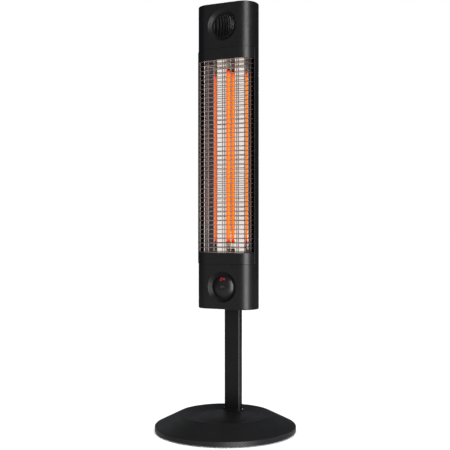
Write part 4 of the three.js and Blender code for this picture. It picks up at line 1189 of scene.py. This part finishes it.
CARRIED_OVER = (
    (cast_iron, ("base_weight", "column_plug", "column_saddle")),
    (steel, ("base_plate", "column_bolt_left", "column_bolt_right",
             *(f"foot_screw_{i + 1}" for i in range(4)))),
    (polished, ("end_plate_bottom", "end_plate_top")),
    (circuit_board, ("display_board", "power_board")),
    (matte_black, ("push_switch", "digit_display", "power_relay", "triac", "tilt_switch")),
    (gloss_black, ("remote_receiver",)),
    (heat_sink_metal, ("heat_sink",)),
    (ceramic, ("terminal_block", "lamp_holder_bottom", "lamp_holder_top")),
    (lead_sleeve, ("lamp_lead_bottom", "lamp_lead_top")),
)
for material, nodes in CARRIED_OVER:
    for node in nodes:
        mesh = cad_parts[node].data
        mesh.materials.clear()
        mesh.materials.append(material)


# ---- studio

FLOOR = 150
floor_finish = Finish("floor", (0.86, 0.86, 0.86), 0.9, 0.0, 0.1)
floor_finish.vary_color(floor_finish.noise(1.2, detail=2), (0.87, 0.87, 0.87))
floor_mesh = bpy.data.meshes.new("floor")
floor_mesh.from_pydata(
    [(-FLOOR, -FLOOR, 0), (FLOOR, -FLOOR, 0), (FLOOR, FLOOR, 0), (-FLOOR, FLOOR, 0)], [], [(0, 1, 2, 3)])
floor_mesh.materials.append(floor_finish.material)
floor = bpy.data.objects.new("floor", floor_mesh)
scene.collection.objects.link(floor)
floor.visible_glossy = False
floor.visible_diffuse = False
floor.visible_shadow = False


def add_light(name, kind, energy, location):
    data = bpy.data.lights.new(name, kind)
    data.energy = energy
    light = bpy.data.objects.new(name, data)
    light.location = location
    scene.collection.objects.link(light)
    return light


def soft_box(name, location, rotation, width, tall, radiance, color=(1, 1, 1)):
    light = add_light(name, "AREA", radiance * math.pi * width * tall, location)
    light.data.shape = "RECTANGLE"
    light.data.size = width
    light.data.size_y = tall
    light.data.color = color
    light.rotation_euler = rotation
    light.visible_camera = False
    return light


def panel_light(name, azimuth, distance, height, width, tall, target, radiance, color):
    """A soft box aimed at the heater's axis. Azimuth runs from the front toward +X, in degrees."""
    angle = math.radians(azimuth)
    place = Vector((distance * math.sin(angle), -distance * math.cos(angle), height))
    turn = (Vector((0, 0, target)) - place).to_track_quat("-Z", "Y").to_euler()
    return soft_box(name, place, turn, width, tall, radiance, color)


def light_only(light, objects, exclude):
    """Limit a light to some objects, or to everything but them."""
    group = bpy.data.collections.new(f"{light.name}_linked")
    for made in objects:
        group.objects.link(made)
    light.light_linking.receiver_collection = group
    if exclude:
        for entry in group.collection_objects:
            entry.light_linking.link_state = "EXCLUDE"


def made_pieces(*names):
    return [bpy.data.objects[name] for name in names]


bright = made_pieces("reflector_sheet", "quartz_tube", "wire_grille", "wire_uprights", "lamp_end_low",
                     "lamp_end_high", "filament_legs")
bright += [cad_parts[name] for name in ("end_plate_bottom", "end_plate_top")]
base = made_pieces("base_shell")
vent = made_pieces("vent_grating")
stand = made_pieces("column", "column_foot", "ear_screw_left", "ear_screw_right")

# Azimuth, distance, height, width, height of the panel, and the height that it is aimed at.
KEY = (46.5, 3.0, 0.5, 1.6, 3.4, 0.5)
FILL = (-24, 3.4, 0.9, 3.0, 4.2, 0.9)
SIDE = (2.3, 1.2, 2.0, 1.6, 0.04)
WHITE = (1, 1, 1)
WARM = (1.0, 0.97, 0.94)
for name, panel, radiance, color, pieces, exclude in (
    ("key", KEY, 10.0, WHITE, bright + vent, True),
    ("vent_key", KEY, 3.0, WHITE, vent, False),
    ("fill_front", FILL, 0.2, WHITE, bright, True),
    ("fill_metal", FILL, 0.9, WARM, bright, False),
    ("vent_light", (-80, 2.6, 1.0, 1.2, 1.6, 0.9), 11.0, WHITE, vent, False),
    ("rear", (206, 3.4, 1.1, 0.9, 2.8, 0.6), 14.0, WHITE, base + stand + [floor], True),
    ("side_left", (-112, *SIDE), 0.25, WHITE, base, False),
    ("side_right", (128, *SIDE), 1.7, WHITE, base, False),
    ("behind", (206, *SIDE), 0.14, WHITE, base, False),
):
    light_only(panel_light(name, *panel, radiance, color), pieces, exclude)
soft_box("bounce", (0, 0, -0.05), (math.pi, 0, 0), 4.0, 4.0, 0.45)
soft_box("ceiling", (0, 0, 3.2), (0, 0, 0), 2.4, 2.4, 0.42)

sun = add_light("overhead", "SUN", 3.75, (0, 0, 4))
sun.data.angle = math.radians(80)
light_only(sun, [floor], False)

world = bpy.data.worlds.new("studio")
world.use_nodes = True
scene.world = world
sky = world.node_tree
dim = sky.nodes["Background"]
backdrop = sky.nodes.new("ShaderNodeBackground")
for node, color, strength in ((dim, (0.75, 0.84, 1.0, 1), 0.052), (backdrop, (1, 1, 1, 1), 1.0)):
    node.inputs["Color"].default_value = color
    node.inputs["Strength"].default_value = strength
rays = sky.nodes.new("ShaderNodeLightPath")
choose = sky.nodes.new("ShaderNodeMixShader")
sky.links.new(rays.outputs["Is Camera Ray"], choose.inputs["Fac"])
sky.links.new(dim.outputs["Background"], choose.inputs[1])
sky.links.new(backdrop.outputs["Background"], choose.inputs[2])
sky.links.new(choose.outputs["Shader"], sky.nodes["World Output"].inputs["Surface"])
scene.view_settings.view_transform = "Standard"
